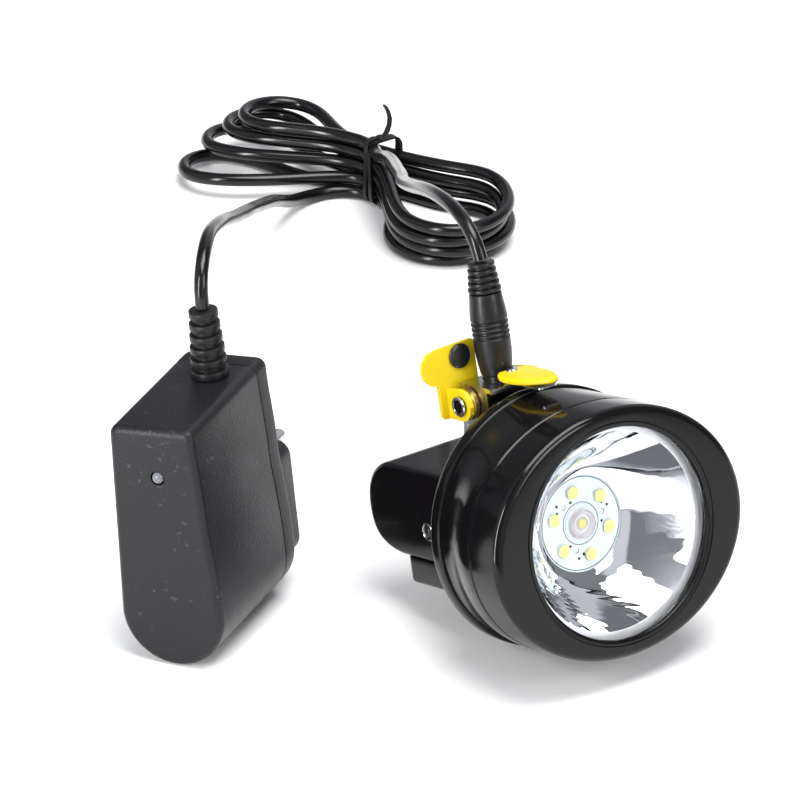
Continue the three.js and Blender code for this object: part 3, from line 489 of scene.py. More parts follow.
def turned(profile, axis="Y", sides=TURNED_SIDES, stretch=None):
    points, rows = [], []
    for radius, along in profile:
        if radius < 1e-6:
            points.append((0.0, 0.0, along))
            rows.append([len(points) - 1] * sides)
            continue
        wide = stretch(radius, along) if stretch else 1.0
        start = len(points)
        for k in range(sides):
            angle = 2 * math.pi * k / sides
            points.append((radius * wide * math.cos(angle), radius * math.sin(angle), along))
        rows.append(list(range(start, start + sides)))
    faces = []
    pairs = list(zip(rows, rows[1:]))
    if profile[0][0] > 1e-6:
        pairs.append((rows[-1], rows[0]))
    for lower, upper in pairs:
        for k in range(sides):
            corners = [lower[k], lower[(k + 1) % sides], upper[(k + 1) % sides], upper[k]]
            corners = list(dict.fromkeys(corners))
            if len(corners) > 2:
                faces.append(corners)
    return [AXES[axis](p) for p in points], faces


def bands(rows, count, closed=False):
    faces = []
    for row in range(rows if closed else rows - 1):
        low, high = row * count, (row + 1) % rows * count
        for k in range(count):
            n = (k + 1) % count
            faces.append([low + k, low + n, high + n, high + k])
    return faces


def raised(base, *rows):
    return [(radius, base + along) for radius, along in rows]


def disc(radius, low, high, edge=0.15):
    return [(0, low), (radius - edge, low), (radius, low + edge), (radius, high - edge),
            (radius - edge, high), (0, high)]


def ring(inner, outer, low, high, edge=0.12):
    return [(inner, low + edge), (inner + edge, low), (outer - edge, low), (outer, low + edge),
            (outer, high - edge), (outer - edge, high), (inner + edge, high),
            (inner, high - edge)]


def arc(x, y, radius, start, end, count=10):
    angles = np.radians(np.linspace(start, end, count))
    return [(x + radius * math.cos(a), y + radius * math.sin(a)) for a in angles]


def bezier(a, b, c, d, count=14):
    points = []
    for t in np.linspace(0, 1, count):
        s = 1 - t
        points.append(tuple(s ** 3 * a[i] + 3 * s * s * t * b[i] + 3 * s * t * t * c[i]
                            + t ** 3 * d[i] for i in range(2)))
    return points


def rounded_rect(width, tall, radius, x=0.0, y=0.0, count=8):
    points = []
    for side_x, side_y, start in ((1, -1, -90), (1, 1, 0), (-1, 1, 90), (-1, -1, 180)):
        points += arc(x + side_x * (width / 2 - radius), y + side_y * (tall / 2 - radius),
                      radius, start, start + 90, count)
    return points


def distinct(points):
    kept = []
    for p in points:
        if not kept or math.dist(p, kept[-1]) > 1e-4:
            kept.append(p)
    return kept[:-1] if math.dist(kept[0], kept[-1]) < 1e-4 else kept


def drawn_in(points, inset):
    count = len(points)
    moved = []
    for i, (x, y) in enumerate(points):
        before, after = points[i - 1], points[(i + 1) % count]
        first = Vector((x - before[0], y - before[1])).normalized()
        second = Vector((after[0] - x, after[1] - y)).normalized()
        inward = Vector((-first.y, first.x)) + Vector((-second.y, second.x))
        length = max(inward.length, 0.5)
        inward = inward.normalized() * inset * 2 / length
        moved.append((x + inward.x, y + inward.y))
    return moved


def slab(outline, low, high, edge_low=0.4, edge_high=None, axis="Z", steps=5):
    edge_high = edge_low if edge_high is None else edge_high
    outline = distinct(outline)
    area = sum(a[0] * b[1] - b[0] * a[1] for a, b in zip(outline, outline[1:] + outline[:1]))
    if area < 0:
        outline.reverse()
    levels = []
    for k in range(steps + 1 if edge_low else 1):
        turn = math.pi / 2 * k / steps if edge_low else math.pi / 2
        levels.append((edge_low * (1 - math.sin(turn)), low + edge_low * (1 - math.cos(turn))))
    for k in range(steps + 1 if edge_high else 1):
        turn = math.pi / 2 * (1 - k / steps) if edge_high else math.pi / 2
        levels.append((edge_high * (1 - math.sin(turn)),
                       high - edge_high * (1 - math.cos(turn))))
    points, count = [], len(outline)
    for inset, level in levels:
        points += [(x, y, level) for x, y in drawn_in(outline, inset)]
    faces = [list(range(count))[::-1], list(range(len(points) - count, len(points)))]
    faces += bands(len(levels), count)
    return [AXES[axis](p) for p in points], faces


def joined(*shapes):
    points, faces = [], []
    for more_points, more_faces in shapes:
        start = len(points)
        points += list(more_points)
        faces += [[i + start for i in face] for face in more_faces]
    return points, faces


def moved(shape, x=0.0, y=0.0, z=0.0):
    return [(px + x, py + y, pz + z) for px, py, pz in shape[0]], shape[1]


def raw_object(name, shape, frame_matrix):
    points, faces = shape
    mesh = bpy.data.meshes.new(name)
    mesh.from_pydata([Vector(p) * MM for p in points], [], faces)
    mesh.transform(frame_matrix)
    tidy = bmesh.new()
    tidy.from_mesh(mesh)
    bmesh.ops.remove_doubles(tidy, verts=tidy.verts, dist=1e-7)
    bmesh.ops.recalc_face_normals(tidy, faces=tidy.faces)
    tidy.to_mesh(mesh)
    tidy.free()
    return add_object(name, mesh)


def smooth(item, angle=34):
    item.data.shade_smooth()
    item.data.set_sharp_from_angle(angle=math.radians(angle))


def with_cuts(item, cutters):
    for cutter in cutters:
        modifier = item.modifiers.new("cut", "BOOLEAN")
        modifier.operation = "DIFFERENCE"
        modifier.solver = "EXACT"
        modifier.object = cutter
    held = bpy.context.evaluated_depsgraph_get()
    mesh = bpy.data.meshes.new_from_object(item.evaluated_get(held))
    item.modifiers.clear()
    item.data = mesh
    for cutter in cutters:
        bpy.data.objects.remove(cutter)


def piece(name, shape, slot, frame_matrix=LAMP, stands_for=(), body="lamp", cuts=(), angle=34):
    item = raw_object(name, shape, frame_matrix)
    if cuts:
        with_cuts(item, [raw_object("cutter", cut, frame_matrix) for cut in cuts])
    smooth(item, angle)
    item.data.materials.clear()
    item.data.materials.append(finishes[slot])
    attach(item, body)
    if stands_for:
        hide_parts(*stands_for)
    return item


print("shape helpers ready")

# %% [markdown]
# ## The head: bezel, window and mirror
#
# The bezel is oval outside and round inside. One grid can hold both: each row of points is a
# blend from the round opening to the oval rim, so the flat face widens towards the sides as the
# real one does. A fine groove runs round the opening.

# %% Bezel
BEZEL_RADIUS = 36.7
BEZEL_WIDENING = 88 / 73.4
BEZEL_DEPTH = 13.0
BEZEL_EDGE = 2.2
WINDOW_RADIUS = 31.0
LIP = 1.8
BORE = 34.3


def bezel_shape(sides=TURNED_SIDES):
    inner_rows = [(BORE, BEZEL_DEPTH), (BORE, LIP + 0.15), (BORE - 0.15, LIP),
                  (WINDOW_RADIUS + 0.2, LIP), (WINDOW_RADIUS, LIP - 0.2),
                  (WINDOW_RADIUS, 0.35), (WINDOW_RADIUS + 0.1, 0.1), (WINDOW_RADIUS + 0.35, 0),
                  (32.3, 0), (32.4, 0.28), (32.65, 0.35), (32.9, 0.28), (33.0, 0.02)]
    arc_steps = 12
    rows = len(inner_rows) + arc_steps + 3
    points = []
    for k in range(sides):
        angle = 2 * math.pi * k / sides
        c, s = math.cos(angle), math.sin(angle)
        reach = math.hypot(BEZEL_WIDENING * c, s)
        column = [(r * c, r * s, y) for r, y in inner_rows]
        first = max(0.0, (33.3 / reach - (BEZEL_RADIUS - BEZEL_EDGE)) / BEZEL_EDGE)
        start = math.asin(min(first, 0.95))
        for i in range(arc_steps + 1):
            turn = start + (math.pi / 2 - start) * i / arc_steps
            r = BEZEL_RADIUS - BEZEL_EDGE + BEZEL_EDGE * math.sin(turn)
            column.append((r * BEZEL_WIDENING * c, r * s, BEZEL_EDGE * (1 - math.cos(turn))))
        r = BEZEL_RADIUS
        column.append((r * BEZEL_WIDENING * c, r * s, BEZEL_DEPTH - 0.3))
        r -= 0.3
        column.append((r * BEZEL_WIDENING * c, r * s, BEZEL_DEPTH))
        points += [(x, y, z) for x, z, y in column]
    faces = []
    for k in range(sides):
        a, b = k * rows, ((k + 1) % sides) * rows
        for i in range(rows):
            j = (i + 1) % rows
            faces.append([a + i, b + i, b + j, a + j])
    return points, faces


piece("bezel", bezel_shape(), "shell_gloss", stands_for=["front_bezel"])
print("bezel made")

# %% [markdown]
# The window is a flat clear disc behind the lip. Behind it the reflector is a shallow bowl that
# ends at the edge of the lights' board, with a flat rim that the window's seal presses on.

# %% Window and reflector
LENS_FRONT = LIP + 0.3
LENS_BACK = LENS_FRONT + 2.0
MIRROR_FRONT = LENS_BACK + 0.3
MIRROR_DEPTH = 15.4
MIRROR_RADIUS = 29.2
BOARD_SEEN = 14.3
SPUN_WALL = 1.2

lens_radius = BORE - 2.2
piece("window", turned([(0, LENS_FRONT), (lens_radius - 0.4, LENS_FRONT),
                        (lens_radius, LENS_FRONT + 0.4), (lens_radius, LENS_BACK),
                        (0, LENS_BACK)]), "window_clear", stands_for=["lens"])

bowl, outside = [], []
BOWL_STEPS = 28
for step in range(BOWL_STEPS + 1):
    deep = step / BOWL_STEPS
    bowl_radius = BOARD_SEEN + (MIRROR_RADIUS - BOARD_SEEN) * (1 - deep) ** 0.65
    along = MIRROR_FRONT + MIRROR_DEPTH * deep
    bowl.append((bowl_radius, along))
    if along > MIRROR_FRONT + SPUN_WALL + 0.2:
        outside.insert(0, (bowl_radius + SPUN_WALL, along))
rim_back = MIRROR_FRONT + SPUN_WALL
bowl += outside + [(MIRROR_RADIUS + 0.6, rim_back), (BORE - 0.3, rim_back),
                   (BORE - 0.3, MIRROR_FRONT), (MIRROR_RADIUS + 0.2, MIRROR_FRONT)]
piece("reflector_bowl", turned(bowl), "mirror", stands_for=["reflector"], angle=40)
rim_front = LENS_BACK + 0.08
rim_rows = ring(MIRROR_RADIUS + 0.05, WINDOW_RADIUS + 1, rim_front, MIRROR_FRONT - 0.02, 0.04)
piece("reflector_rim", turned(rim_rows), "mirror").data.materials[0] = spun_rim
print("bowl radius", MIRROR_RADIUS, "depth", MIRROR_DEPTH)

# %% [markdown]
# ## The lights
#
# A white board fills the bottom of the bowl. One strong light with a clear dome sits in its
# middle, and six small ones stand round it. Between them are three screw holes, with small black
# solder points beside each, and two thin dark rings.

# %% Board
BOARD_FRONT = MIRROR_FRONT + MIRROR_DEPTH + 0.3
BOARD_BACK = BOARD_FRONT + 1.6
BOARD_RADIUS = 17.0
HOLE_CIRCLE = 8.0
hole_turns = [math.radians(10 + 120 * i) for i in range(3)]


def on_board(shape, circle, angle):
    return moved(shape, x=circle * math.cos(angle), z=circle * math.sin(angle))


def at_holes(radius, low, high, edge=0.15):
    return [on_board(turned(disc(radius, low, high, edge), sides=24), HOLE_CIRCLE, angle)
            for angle in hole_turns]


piece("lights_board", turned(disc(BOARD_RADIUS, BOARD_FRONT, BOARD_BACK)), "led_board",
      stands_for=["led_board"], cuts=at_holes(0.9, BOARD_FRONT - 1, BOARD_BACK + 1))

marks = []
point = turned(disc(0.42, BOARD_FRONT - 0.25, BOARD_FRONT - 0.01, 0.1), sides=16)
for angle in hole_turns:
    for offset, turn in ((2.3, 0.12), (1.2, 0.3), (-0.6, -0.34)):
        marks.append(on_board(point, HOLE_CIRCLE + offset, angle + turn))
for circle in (6.1, 13.6):
    marks.append(turned(ring(circle, circle + 0.22, BOARD_FRONT - 0.08, BOARD_FRONT - 0.01, 0.02)))
piece("board_points", joined(*marks), "fitting_matte")
caps = at_holes(0.78, BOARD_FRONT + 0.12, BOARD_BACK - 0.4, 0.2)
piece("board_screws", joined(*caps), "led_board")
print("board at", round(BOARD_FRONT, 2), "mm behind the face")

# %% [markdown]
# Each small light is a pale frame with a rounded pool of phosphor in it. The strong one is a
# stepped base with a square chip, under a clear dome that has a thin flange.

# %% Strong light and small lights
CHIP_BACK = BOARD_FRONT - 0.3
DOME = 4.6
SMALL_CIRCLE = 9.85


def rounded_pool(width, tall, base, rise, steps=6):
    points = []
    outline = rounded_rect(width, tall, min(width, tall) * 0.32, count=6)
    for k in range(steps):
        share = math.cos(math.pi / 2 * k / steps)
        level = base - rise * math.sin(math.pi / 2 * k / steps)
        points += [(x * share, level, z * share) for x, z in outline]
    points.append((0.0, base - rise, 0.0))
    count = len(outline)
    faces = bands(steps, count)
    top = (steps - 1) * count
    for k in range(count):
        faces.append([top + k, top + (k + 1) % count, len(points) - 1])
    faces.append(list(range(count))[::-1])
    return points, faces


for number in range(6):
    angle = math.radians(40 + 60 * number)
    frame_part = slab(rounded_rect(3.4, 2.8, 0.4), CHIP_BACK - 0.6, CHIP_BACK, 0.12, axis="Y")
    piece(f"small_light_frame_{number + 1}", on_board(frame_part, SMALL_CIRCLE, angle), "led_board")
    pool = raised(CHIP_BACK, (0, -0.98), (0.7, -0.95), (1.4, -0.83), (1.85, -0.66), (1.95, -0.6),
                  (0, -0.6))
    piece(f"small_light_{number + 1}", on_board(turned(pool, sides=48), SMALL_CIRCLE, angle),
          "phosphor", stands_for=[f"aux_led_{number + 1}"], angle=50)

base = joined(turned(ring(3.2, DOME + 0.9, CHIP_BACK - 0.05, CHIP_BACK + 0.28, 0.05)),
              turned(disc(3.55, CHIP_BACK - 0.42, CHIP_BACK - 0.06, 0.1)),
              turned(ring(2.75, 3.0, CHIP_BACK - 0.75, CHIP_BACK - 0.42, 0.08)),
              turned(ring(1.75, 1.95, CHIP_BACK - 0.7, CHIP_BACK - 0.42, 0.06)))
piece("strong_light_base", base, "led_board")
piece("strong_light_chip", rounded_pool(2.6, 2.6, CHIP_BACK - 0.75, 0.4), "phosphor",
      stands_for=["main_led"], angle=50)
dome_profile = [(0, CHIP_BACK - 4.4)]
for step in range(1, 15):
    turn = math.pi / 2 * step / 14
    dome_profile.append(((DOME - 0.5) * math.sin(turn), CHIP_BACK - 0.9 - 3.5 * math.cos(turn)))
dome_profile += raised(CHIP_BACK, (DOME - 0.1, -0.8), (DOME, -0.7), (DOME, -0.1), (3.8, -0.1))
for step in range(8, -1, -1):
    turn = math.pi / 2 * step / 8
    dome_profile.append((3.6 * math.sin(turn), CHIP_BACK - 1.0 - 1.6 * math.cos(turn)))
dome_profile[-1] = (0, CHIP_BACK - 2.6)
piece("strong_light_dome", turned(dome_profile), "dome_clear", stands_for=["main_led_dome"],
      angle=50)
print("lights", 7)

# %% [markdown]
# ## The shell behind the bezel
#
# The drum is as oval as the bezel at its front and almost round at its flange. The flange is a
# band that stands a little proud, and four screws hold it to the rear housing.

# %% Shell and flange
SHELL_FRONT = BEZEL_DEPTH + 0.3
SHELL_DEPTH = 25.0
SHELL_BACK = SHELL_FRONT + SHELL_DEPTH
FLANGE_RADIUS = 38.2
FLANGE_DEPTH = 4.8
FLANGE_STEP = 0.6
FLANGE_WIDENING = 1.05
SCREW_ACROSS, SCREW_UP = 23.0, 25.2
screw_places = [(x, z) for z in (SCREW_UP, -SCREW_UP) for x in (-SCREW_ACROSS, SCREW_ACROSS)]


def shell_widening(radius, along):
    deep = min(1.0, max(0.0, (along - SHELL_FRONT) / (SHELL_DEPTH - FLANGE_DEPTH)))
    eased = deep * deep * (3 - 2 * deep)
    return BEZEL_WIDENING + (FLANGE_WIDENING - BEZEL_WIDENING) * eased


drum_back = SHELL_BACK - FLANGE_DEPTH
drum_rows = [(BEZEL_RADIUS - 0.4, SHELL_FRONT), (BEZEL_RADIUS, SHELL_FRONT + 0.4)]
for step in range(1, 17):
    deep = step / 16
    swell = 0.6 * math.sin(math.pi * min(1.0, deep * 1.25) / 2)
    drum_rows.append((BEZEL_RADIUS + (FLANGE_RADIUS - FLANGE_STEP - BEZEL_RADIUS) * deep ** 2
                      + swell * (1 - deep), SHELL_FRONT + (drum_back - SHELL_FRONT) * deep))
shell_rows = drum_rows + [
    (FLANGE_RADIUS - 0.5, drum_back + 0.02), (FLANGE_RADIUS - 0.15, drum_back + 0.12),
    (FLANGE_RADIUS, drum_back + 0.4), (FLANGE_RADIUS, SHELL_BACK - 0.9),
    (FLANGE_RADIUS - 0.25, SHELL_BACK - 0.3), (FLANGE_RADIUS - 0.9, SHELL_BACK),
    (9, SHELL_BACK), (9, SHELL_BACK - 2.2), (FLANGE_RADIUS - 4, SHELL_BACK - 2.2),
    (BEZEL_RADIUS - 2.2, SHELL_FRONT + 2.2), (BORE - 2.3, SHELL_FRONT + 2.2),
    (BORE - 2.3, SHELL_FRONT)]
screw_holes = [moved(turned(disc(1.5, SHELL_BACK - 4, SHELL_BACK + 1), sides=24), x=x, z=z)
               for x, z in screw_places]
piece("shell", turned(shell_rows, stretch=shell_widening), "shell_gloss",
      stands_for=["head_shell"], cuts=screw_holes)

screw_rows = raised(SHELL_BACK, (0, -1.6), (1.2, -1.6), (1.2, 0.3), (2.5, 0.3), (2.6, 0.5),
                    (2.45, 1.2), (2.0, 1.7), (1.0, 2.0), (0, 2.1))
for number, (x, z) in enumerate(screw_places):
    slot_cut = slab(rounded_rect(6, 0.7, 0.1), SHELL_BACK + 1.3, SHELL_BACK + 3, 0, axis="Y")
    piece(f"flange_screw_head_{number + 1}", moved(turned(screw_rows, sides=48), x=x, z=z),
          "steel", stands_for=[f"flange_screw_{number + 1}"], cuts=[moved(slot_cut, x=x, z=z)])
print("shell from", SHELL_FRONT, "to", SHELL_BACK)

# %% [markdown]
# ## The rear housing
#
# Seen from the side it has a flat top, a round back and a flat underside, where the battery cover
# meets it. The outline is drawn with two curves and pulled across the lamp. Holes are cut for the
# switch on its right side and the charge indicator on its top.

# %% Housing, cover, switch and indicator
HOUSING_HALF = 29.0
HOUSING_TOP = 18.2
HOUSING_SEAM = -9.5
HOUSING_FRONT = SHELL_BACK + 0.3
HOUSING_DEPTH = 33.4
HOUSING_BACK = HOUSING_FRONT + HOUSING_DEPTH
HOUSING_BULGE = 13.0
COVER_TALL = 8.2
BUTTON_Y = (HOUSING_FRONT + HOUSING_BACK) / 2
INDICATOR = (-19.5, HOUSING_FRONT + 12.5)

round_back = HOUSING_BACK + HOUSING_BULGE
housing_outline = ([(HOUSING_FRONT, HOUSING_SEAM)]
                   + bezier((HOUSING_BACK - 1, HOUSING_SEAM),
                            (HOUSING_BACK + HOUSING_BULGE * 0.8, HOUSING_SEAM + 1),
                            (round_back, HOUSING_SEAM + 6), (round_back, HOUSING_SEAM + 13), 24)
                   + bezier((round_back, HOUSING_SEAM + 13), (round_back, HOUSING_TOP - 6),
                            (HOUSING_BACK + 7, HOUSING_TOP), (HOUSING_BACK, HOUSING_TOP), 24)
                   + [(HOUSING_FRONT, HOUSING_TOP)])
button_hole = moved(turned(disc(2.75, -HOUSING_HALF - 1, -HOUSING_HALF + 4), "X", 48),
                    y=BUTTON_Y)
indicator_hole = moved(turned(disc(1.7, HOUSING_TOP - 4, HOUSING_TOP + 1), "Z", 48),
                       x=INDICATOR[0], y=INDICATOR[1])
piece("housing", slab(housing_outline, -HOUSING_HALF, HOUSING_HALF, 1.6, axis="X", steps=6),
      "shell_gloss", stands_for=["rear_housing"], cuts=[button_hole, indicator_hole])

cover_top = HOUSING_SEAM - 0.3
cover_outline = rounded_rect(2 * HOUSING_HALF - 1.6, HOUSING_DEPTH - 3, 3,
                             0, HOUSING_FRONT + HOUSING_DEPTH / 2)
piece("foot_cover", slab(cover_outline, cover_top - COVER_TALL, cover_top, 1.4, 0.5),
      "shell_gloss", stands_for=["battery_cover"])

piece("switch_bezel", moved(turned(ring(2.1, 2.7, -HOUSING_HALF - 0.5, -HOUSING_HALF + 1.6), "X",
                                   64), y=BUTTON_Y), "steel", stands_for=["switch_ring"])
button_rows = raised(-HOUSING_HALF, (0, -0.9), (0.9, -0.85), (1.5, -0.6), (1.8, -0.1),
                     (1.8, 2.4), (0, 2.4))
piece("switch_cap", moved(turned(button_rows, "X", 64), y=BUTTON_Y), "rubber_black",
      stands_for=["switch_button"], body="button", angle=50)
indicator_rows = raised(HOUSING_TOP, (0, -3), (1.4, -3), (1.4, 0.4), (1.15, 0.9), (0.6, 1.22),
                        (0, 1.3))
piece("indicator_lens", moved(turned(indicator_rows, "Z", 48), x=INDICATOR[0], y=INDICATOR[1]),
      "indicator_red", stands_for=["charge_indicator"], angle=50)
print("housing from", HOUSING_FRONT, "to", round_back)

# %% [markdown]
# ## The hardware on top
#
# A ribbed tower carries the charging socket. Above it a folded steel bracket holds a tilting hook
# plate between two hollow rivets, and a sprung steel tongue reaches forward, with a painted pad
# over its end. The tower, bracket, spring and hook plate have straight edges, so their solids
# stay and get bevels; the turned and rounded parts are made again more finely.

# %% Bevels for the parts that stay
KEPT_BEVELS = {"socket_tower": 0.35, "hinge_bracket": 0.3, "tongue_spring": 0.2,
               "hook_plate": 0.4}
for name, width in KEPT_BEVELS.items():
    node = frame["nodes"][name]
    bevel = node.modifiers.new("soft edges", "BEVEL")
    bevel.width = width * MM
    bevel.segments = 3
    bevel.limit_method = "ANGLE"
    bevel.angle_limit = math.radians(40)
    bevel.harden_normals = False
    for polygon in node.data.polygons:
        polygon.use_smooth = True
    node.data.set_sharp_from_angle(angle=math.radians(35))
print("bevelled", len(KEPT_BEVELS))

# %% Rivets, washers, pins and the hook's stud
HINGE_Y, HINGE_Z = 52.0, 34.4
PIN_Y, PIN_Z = 54.8, 23.8
STUD = (-7.6, 47.1)
SOCKET_Y = 51.6
RIVET_BORE, RIVET_BARREL, RIVET_LIP = 2.1, 2.5, 3.1
RIVET_START, RIVET_FLANGE, RIVET_END = 8.3, 14.1, 14.9
WASHER_BORE, WASHER_RIM = 2.8, 4.75
WASHER_START, WASHER_END = 10, 12

for side, word in ((-1, "right"), (1, "left")):
    low, high = sorted((side * RIVET_START, side * RIVET_END))
    flange = sorted((side * RIVET_FLANGE, side * RIVET_END))
    barrel = turned(ring(RIVET_BORE, RIVET_BARREL, low, high, 0.05), "X", 64)
    lip = turned(ring(RIVET_BORE, RIVET_LIP, *flange, 0.3), "X", 64)
    piece(f"hollow_rivet_{word}", moved(joined(barrel, lip), y=HINGE_Y, z=HINGE_Z), "steel",
          stands_for=[f"hinge_rivet_{word}"])
    low, high = sorted((side * WASHER_START, side * WASHER_END))
    washer = turned(ring(WASHER_BORE, WASHER_RIM, low, high, 0.35), "X", 96)
    piece(f"brass_washer_{word}", moved(washer, y=HINGE_Y, z=HINGE_Z), "brass",
          stands_for=[f"hinge_washer_{word}"])

pin_rows = [(0, -10.5), (1.0, -10.5), (1.2, -10.3), (1.2, 10.3), (1.0, 10.5), (0, 10.5)]
piece("bracket_cross_pin", moved(turned(pin_rows, "X", 48), y=PIN_Y, z=PIN_Z), "steel",
      stands_for=["bracket_pin"])

stud_rows = [(0, 57.35), (2.6, 57.37), (3.2, 57.42), (3.55, 57.6), (3.7, 57.85), (3.7, 58.1),
             (1.4, 58.1), (1.4, 60.1), (2.6, 60.1), (2.6, 60.7), (2.1, 61.2), (0, 61.2)]
piece("hook_stud_turned", moved(turned(stud_rows, "Y", 64), x=STUD[0], z=STUD[1]),
      "fitting_matte", stands_for=["hook_stud"], body="hook")

print("hinge at", HINGE_Y, HINGE_Z)

# %% [markdown]
# The tongue's pad is dipped in thick paint, so its edges are round and it swells towards its
# middle. It is drawn as half of a leaf on each side, and its front lifts a little, like a bill.

# %% Tongue pad
PAD_ROOT = 45.8
PAD_LONG = 24.0
PAD_LOW, PAD_HIGH = 40.95, 42.7
RIVET_Y = 43.6
half_leaf = bezier((3.4, PAD_ROOT), (7.5, PAD_ROOT - 3), (7.5, PAD_ROOT - 15),
                   (1.6, PAD_ROOT - PAD_LONG + 1), 20)
tip = bezier((1.6, PAD_ROOT - PAD_LONG + 1), (0.7, PAD_ROOT - PAD_LONG + 0.1),
             (-0.7, PAD_ROOT - PAD_LONG + 0.1), (-1.6, PAD_ROOT - PAD_LONG + 1), 8)
leaf = half_leaf + tip[1:-1] + [(-x, y) for x, y in half_leaf[::-1]]
points, faces = slab(leaf, PAD_LOW, PAD_HIGH, 0.45, 0.8, steps=6)
lifted = [(x, y, z + 1.8 * max(0.0, (PAD_ROOT - 6 - y) / PAD_LONG) ** 1.6) for x, y, z in points]
pad_hole = moved(turned(disc(1.25, PAD_LOW - 2, PAD_HIGH + 3), "Z", 32), y=RIVET_Y)
piece("tongue_pad", (lifted, faces), "hook_yellow", stands_for=["front_tongue"], cuts=[pad_hole])
rivet_rows = [(0, 38.6), (1, 38.6)]
rivet_rows += raised(PAD_HIGH, (1, 0.05), (1.8, 0.05), (1.75, 0.3), (1.35, 0.62), (0.7, 0.78),
                     (0, 0.82))
piece("tongue_rivet_head", moved(turned(rivet_rows, "Z", 48), y=RIVET_Y), "steel",
      stands_for=["tongue_rivet"])
print("pad", PAD_LONG, "mm long")

# %% [markdown]
# ## The charging plug
#
# The plug stands square in the socket. Its grip has four finger grooves and swells between
# them, and a ringed relief above keeps the cord from bending sharply.

# %% Plug and socket
GRIP_BASE = 38.6
RELIEF_BASE = 65.6


def plug(shape):
    return moved(shape, y=SOCKET_Y)


grip_rows = raised(GRIP_BASE, (0, 0), (3.8, 0), (4.0, 0.2), (4.0, 1.9), (4.15, 2.1), (4.5, 2.35),
                   (4.65, 2.8), (5.1, 5.7), (5.4, 8.7), (5.5, 12.8))
for groove in range(4):
    start = GRIP_BASE + 13.1 + 1.5 * groove
    grip_rows += raised(start, (5.5, -0.05), (5.42, 0.08), (5.05, 0.3), (5.02, 0.65), (5.38, 0.9),
                        (5.5, 1.05))
grip_rows += raised(GRIP_BASE, (5.5, 19.7), (5.3, 21.7), (4.95, 24.2), (4.8, 26.1), (4.65, 26.5),
                    (4.3, 26.7), (0, 26.7))
piece("plug_grip", plug(turned(grip_rows, "Z")), "rubber_black", stands_for=["dc_plug_grip"])


def ringed_relief(base, rings, length, wide, narrow, groove, tip=0.35):
    pitch_along = length / rings
    rows = [(0, base)]
    for k in range(rings):
        radius = wide + (narrow - wide) * k / (rings - 1)
        start = base + k * pitch_along
        full = pitch_along * 0.62
        rows += [(radius - 0.3, start), (radius - 0.08, start + 0.1), (radius, start + 0.32),
                 (radius, start + full - 0.32), (radius - 0.08, start + full - 0.1),
                 (radius - 0.3, start + full), (radius - groove, start + full + 0.06),
                 (radius - groove, start + pitch_along - 0.06)]
    end = base + length - (pitch_along * 0.38)
    rows = [row for row in rows if row[1] <= end + 1e-6]
    rows += [(0, end)]
    return rows


relief_rows = ringed_relief(RELIEF_BASE, 5, 9.4, 4.9, 4.0, 1.2)
piece("plug_relief", plug(turned(relief_rows, "Z", 96)), "rubber_black",
      stands_for=["dc_plug_relief"])
barrel_rows = [(1.2, 28.6), (1.3, 28.5), (2.65, 28.5), (2.75, 28.6), (2.75, 38.28), (1.2, 38.28)]
piece("plug_barrel", plug(turned(barrel_rows, "Z", 64)), "contact_nickel",
      stands_for=["dc_plug_barrel"])
print("plug from", GRIP_BASE, "to", round(relief_rows[-1][1], 1))

# %% [markdown]
# ## The charger
#
# The charger stands on a round foot. Its front shell and its back shell have one outline, with a
# hair of a gap between them where they are glued. The block that holds the two mains pins stands
# out at the back. Both shells are hollow, because their shadowed seam would look painted on a
# solid block.

# %% Charger shells
CHARGER_TALL = 75.5
CHARGER_HALF = 13.25
CHARGER_FOOT = 16.0
CHARGER_SEAM = 46.0
CHARGER_BACK = CHARGER_SEAM + 7.8
CHARGER_WALL = 2.0
PIN_BASE = CHARGER_BACK + 11.0
PIN_MIDDLE = 26.0
PIN_APART = 9.5
CHARGER_RELIEF = (2.3, 38.0)
CHARGER_LED = (0.9, 60.2)


def charger_outline(inset=0.0):
    foot, top, half = CHARGER_FOOT - inset, CHARGER_TALL - inset, CHARGER_HALF - inset
    corner, waist = 3 - inset * 0.5, CHARGER_HALF - inset + 1
    points = arc(0, CHARGER_FOOT, foot, 180, 360, 40)
    points += bezier((foot, CHARGER_FOOT), (foot, CHARGER_FOOT + 16), (waist, CHARGER_TALL - 34),
                     (waist, CHARGER_TALL - 28), 16)
    points += bezier((waist, CHARGER_TALL - 28), (waist, CHARGER_TALL - 16),
                     (half, CHARGER_TALL - 12), (half, top - corner), 12)
    points += arc(half - corner, top - corner, corner, 0, 90, 9)
    points += arc(-half + corner, top - corner, corner, 90, 180, 9)
    return points


cavity = slab(charger_outline(CHARGER_WALL), CHARGER_WALL, CHARGER_SEAM + 5, 0, axis="Y")
led_hole = moved(turned(disc(2.2, -1, 4), sides=32), x=CHARGER_LED[0], z=CHARGER_LED[1])
tail_hole = moved(turned(disc(3.4, CHARGER_TALL - 8, CHARGER_TALL + 1), "Z", 48), *CHARGER_RELIEF)
piece("charger_front", slab(charger_outline(), 0, CHARGER_SEAM, 2.2, 0.25, axis="Y", steps=6),
      "charger_matte", CHARGER, ["charger_front_shell"], cuts=[cavity, led_hole, tail_hole])

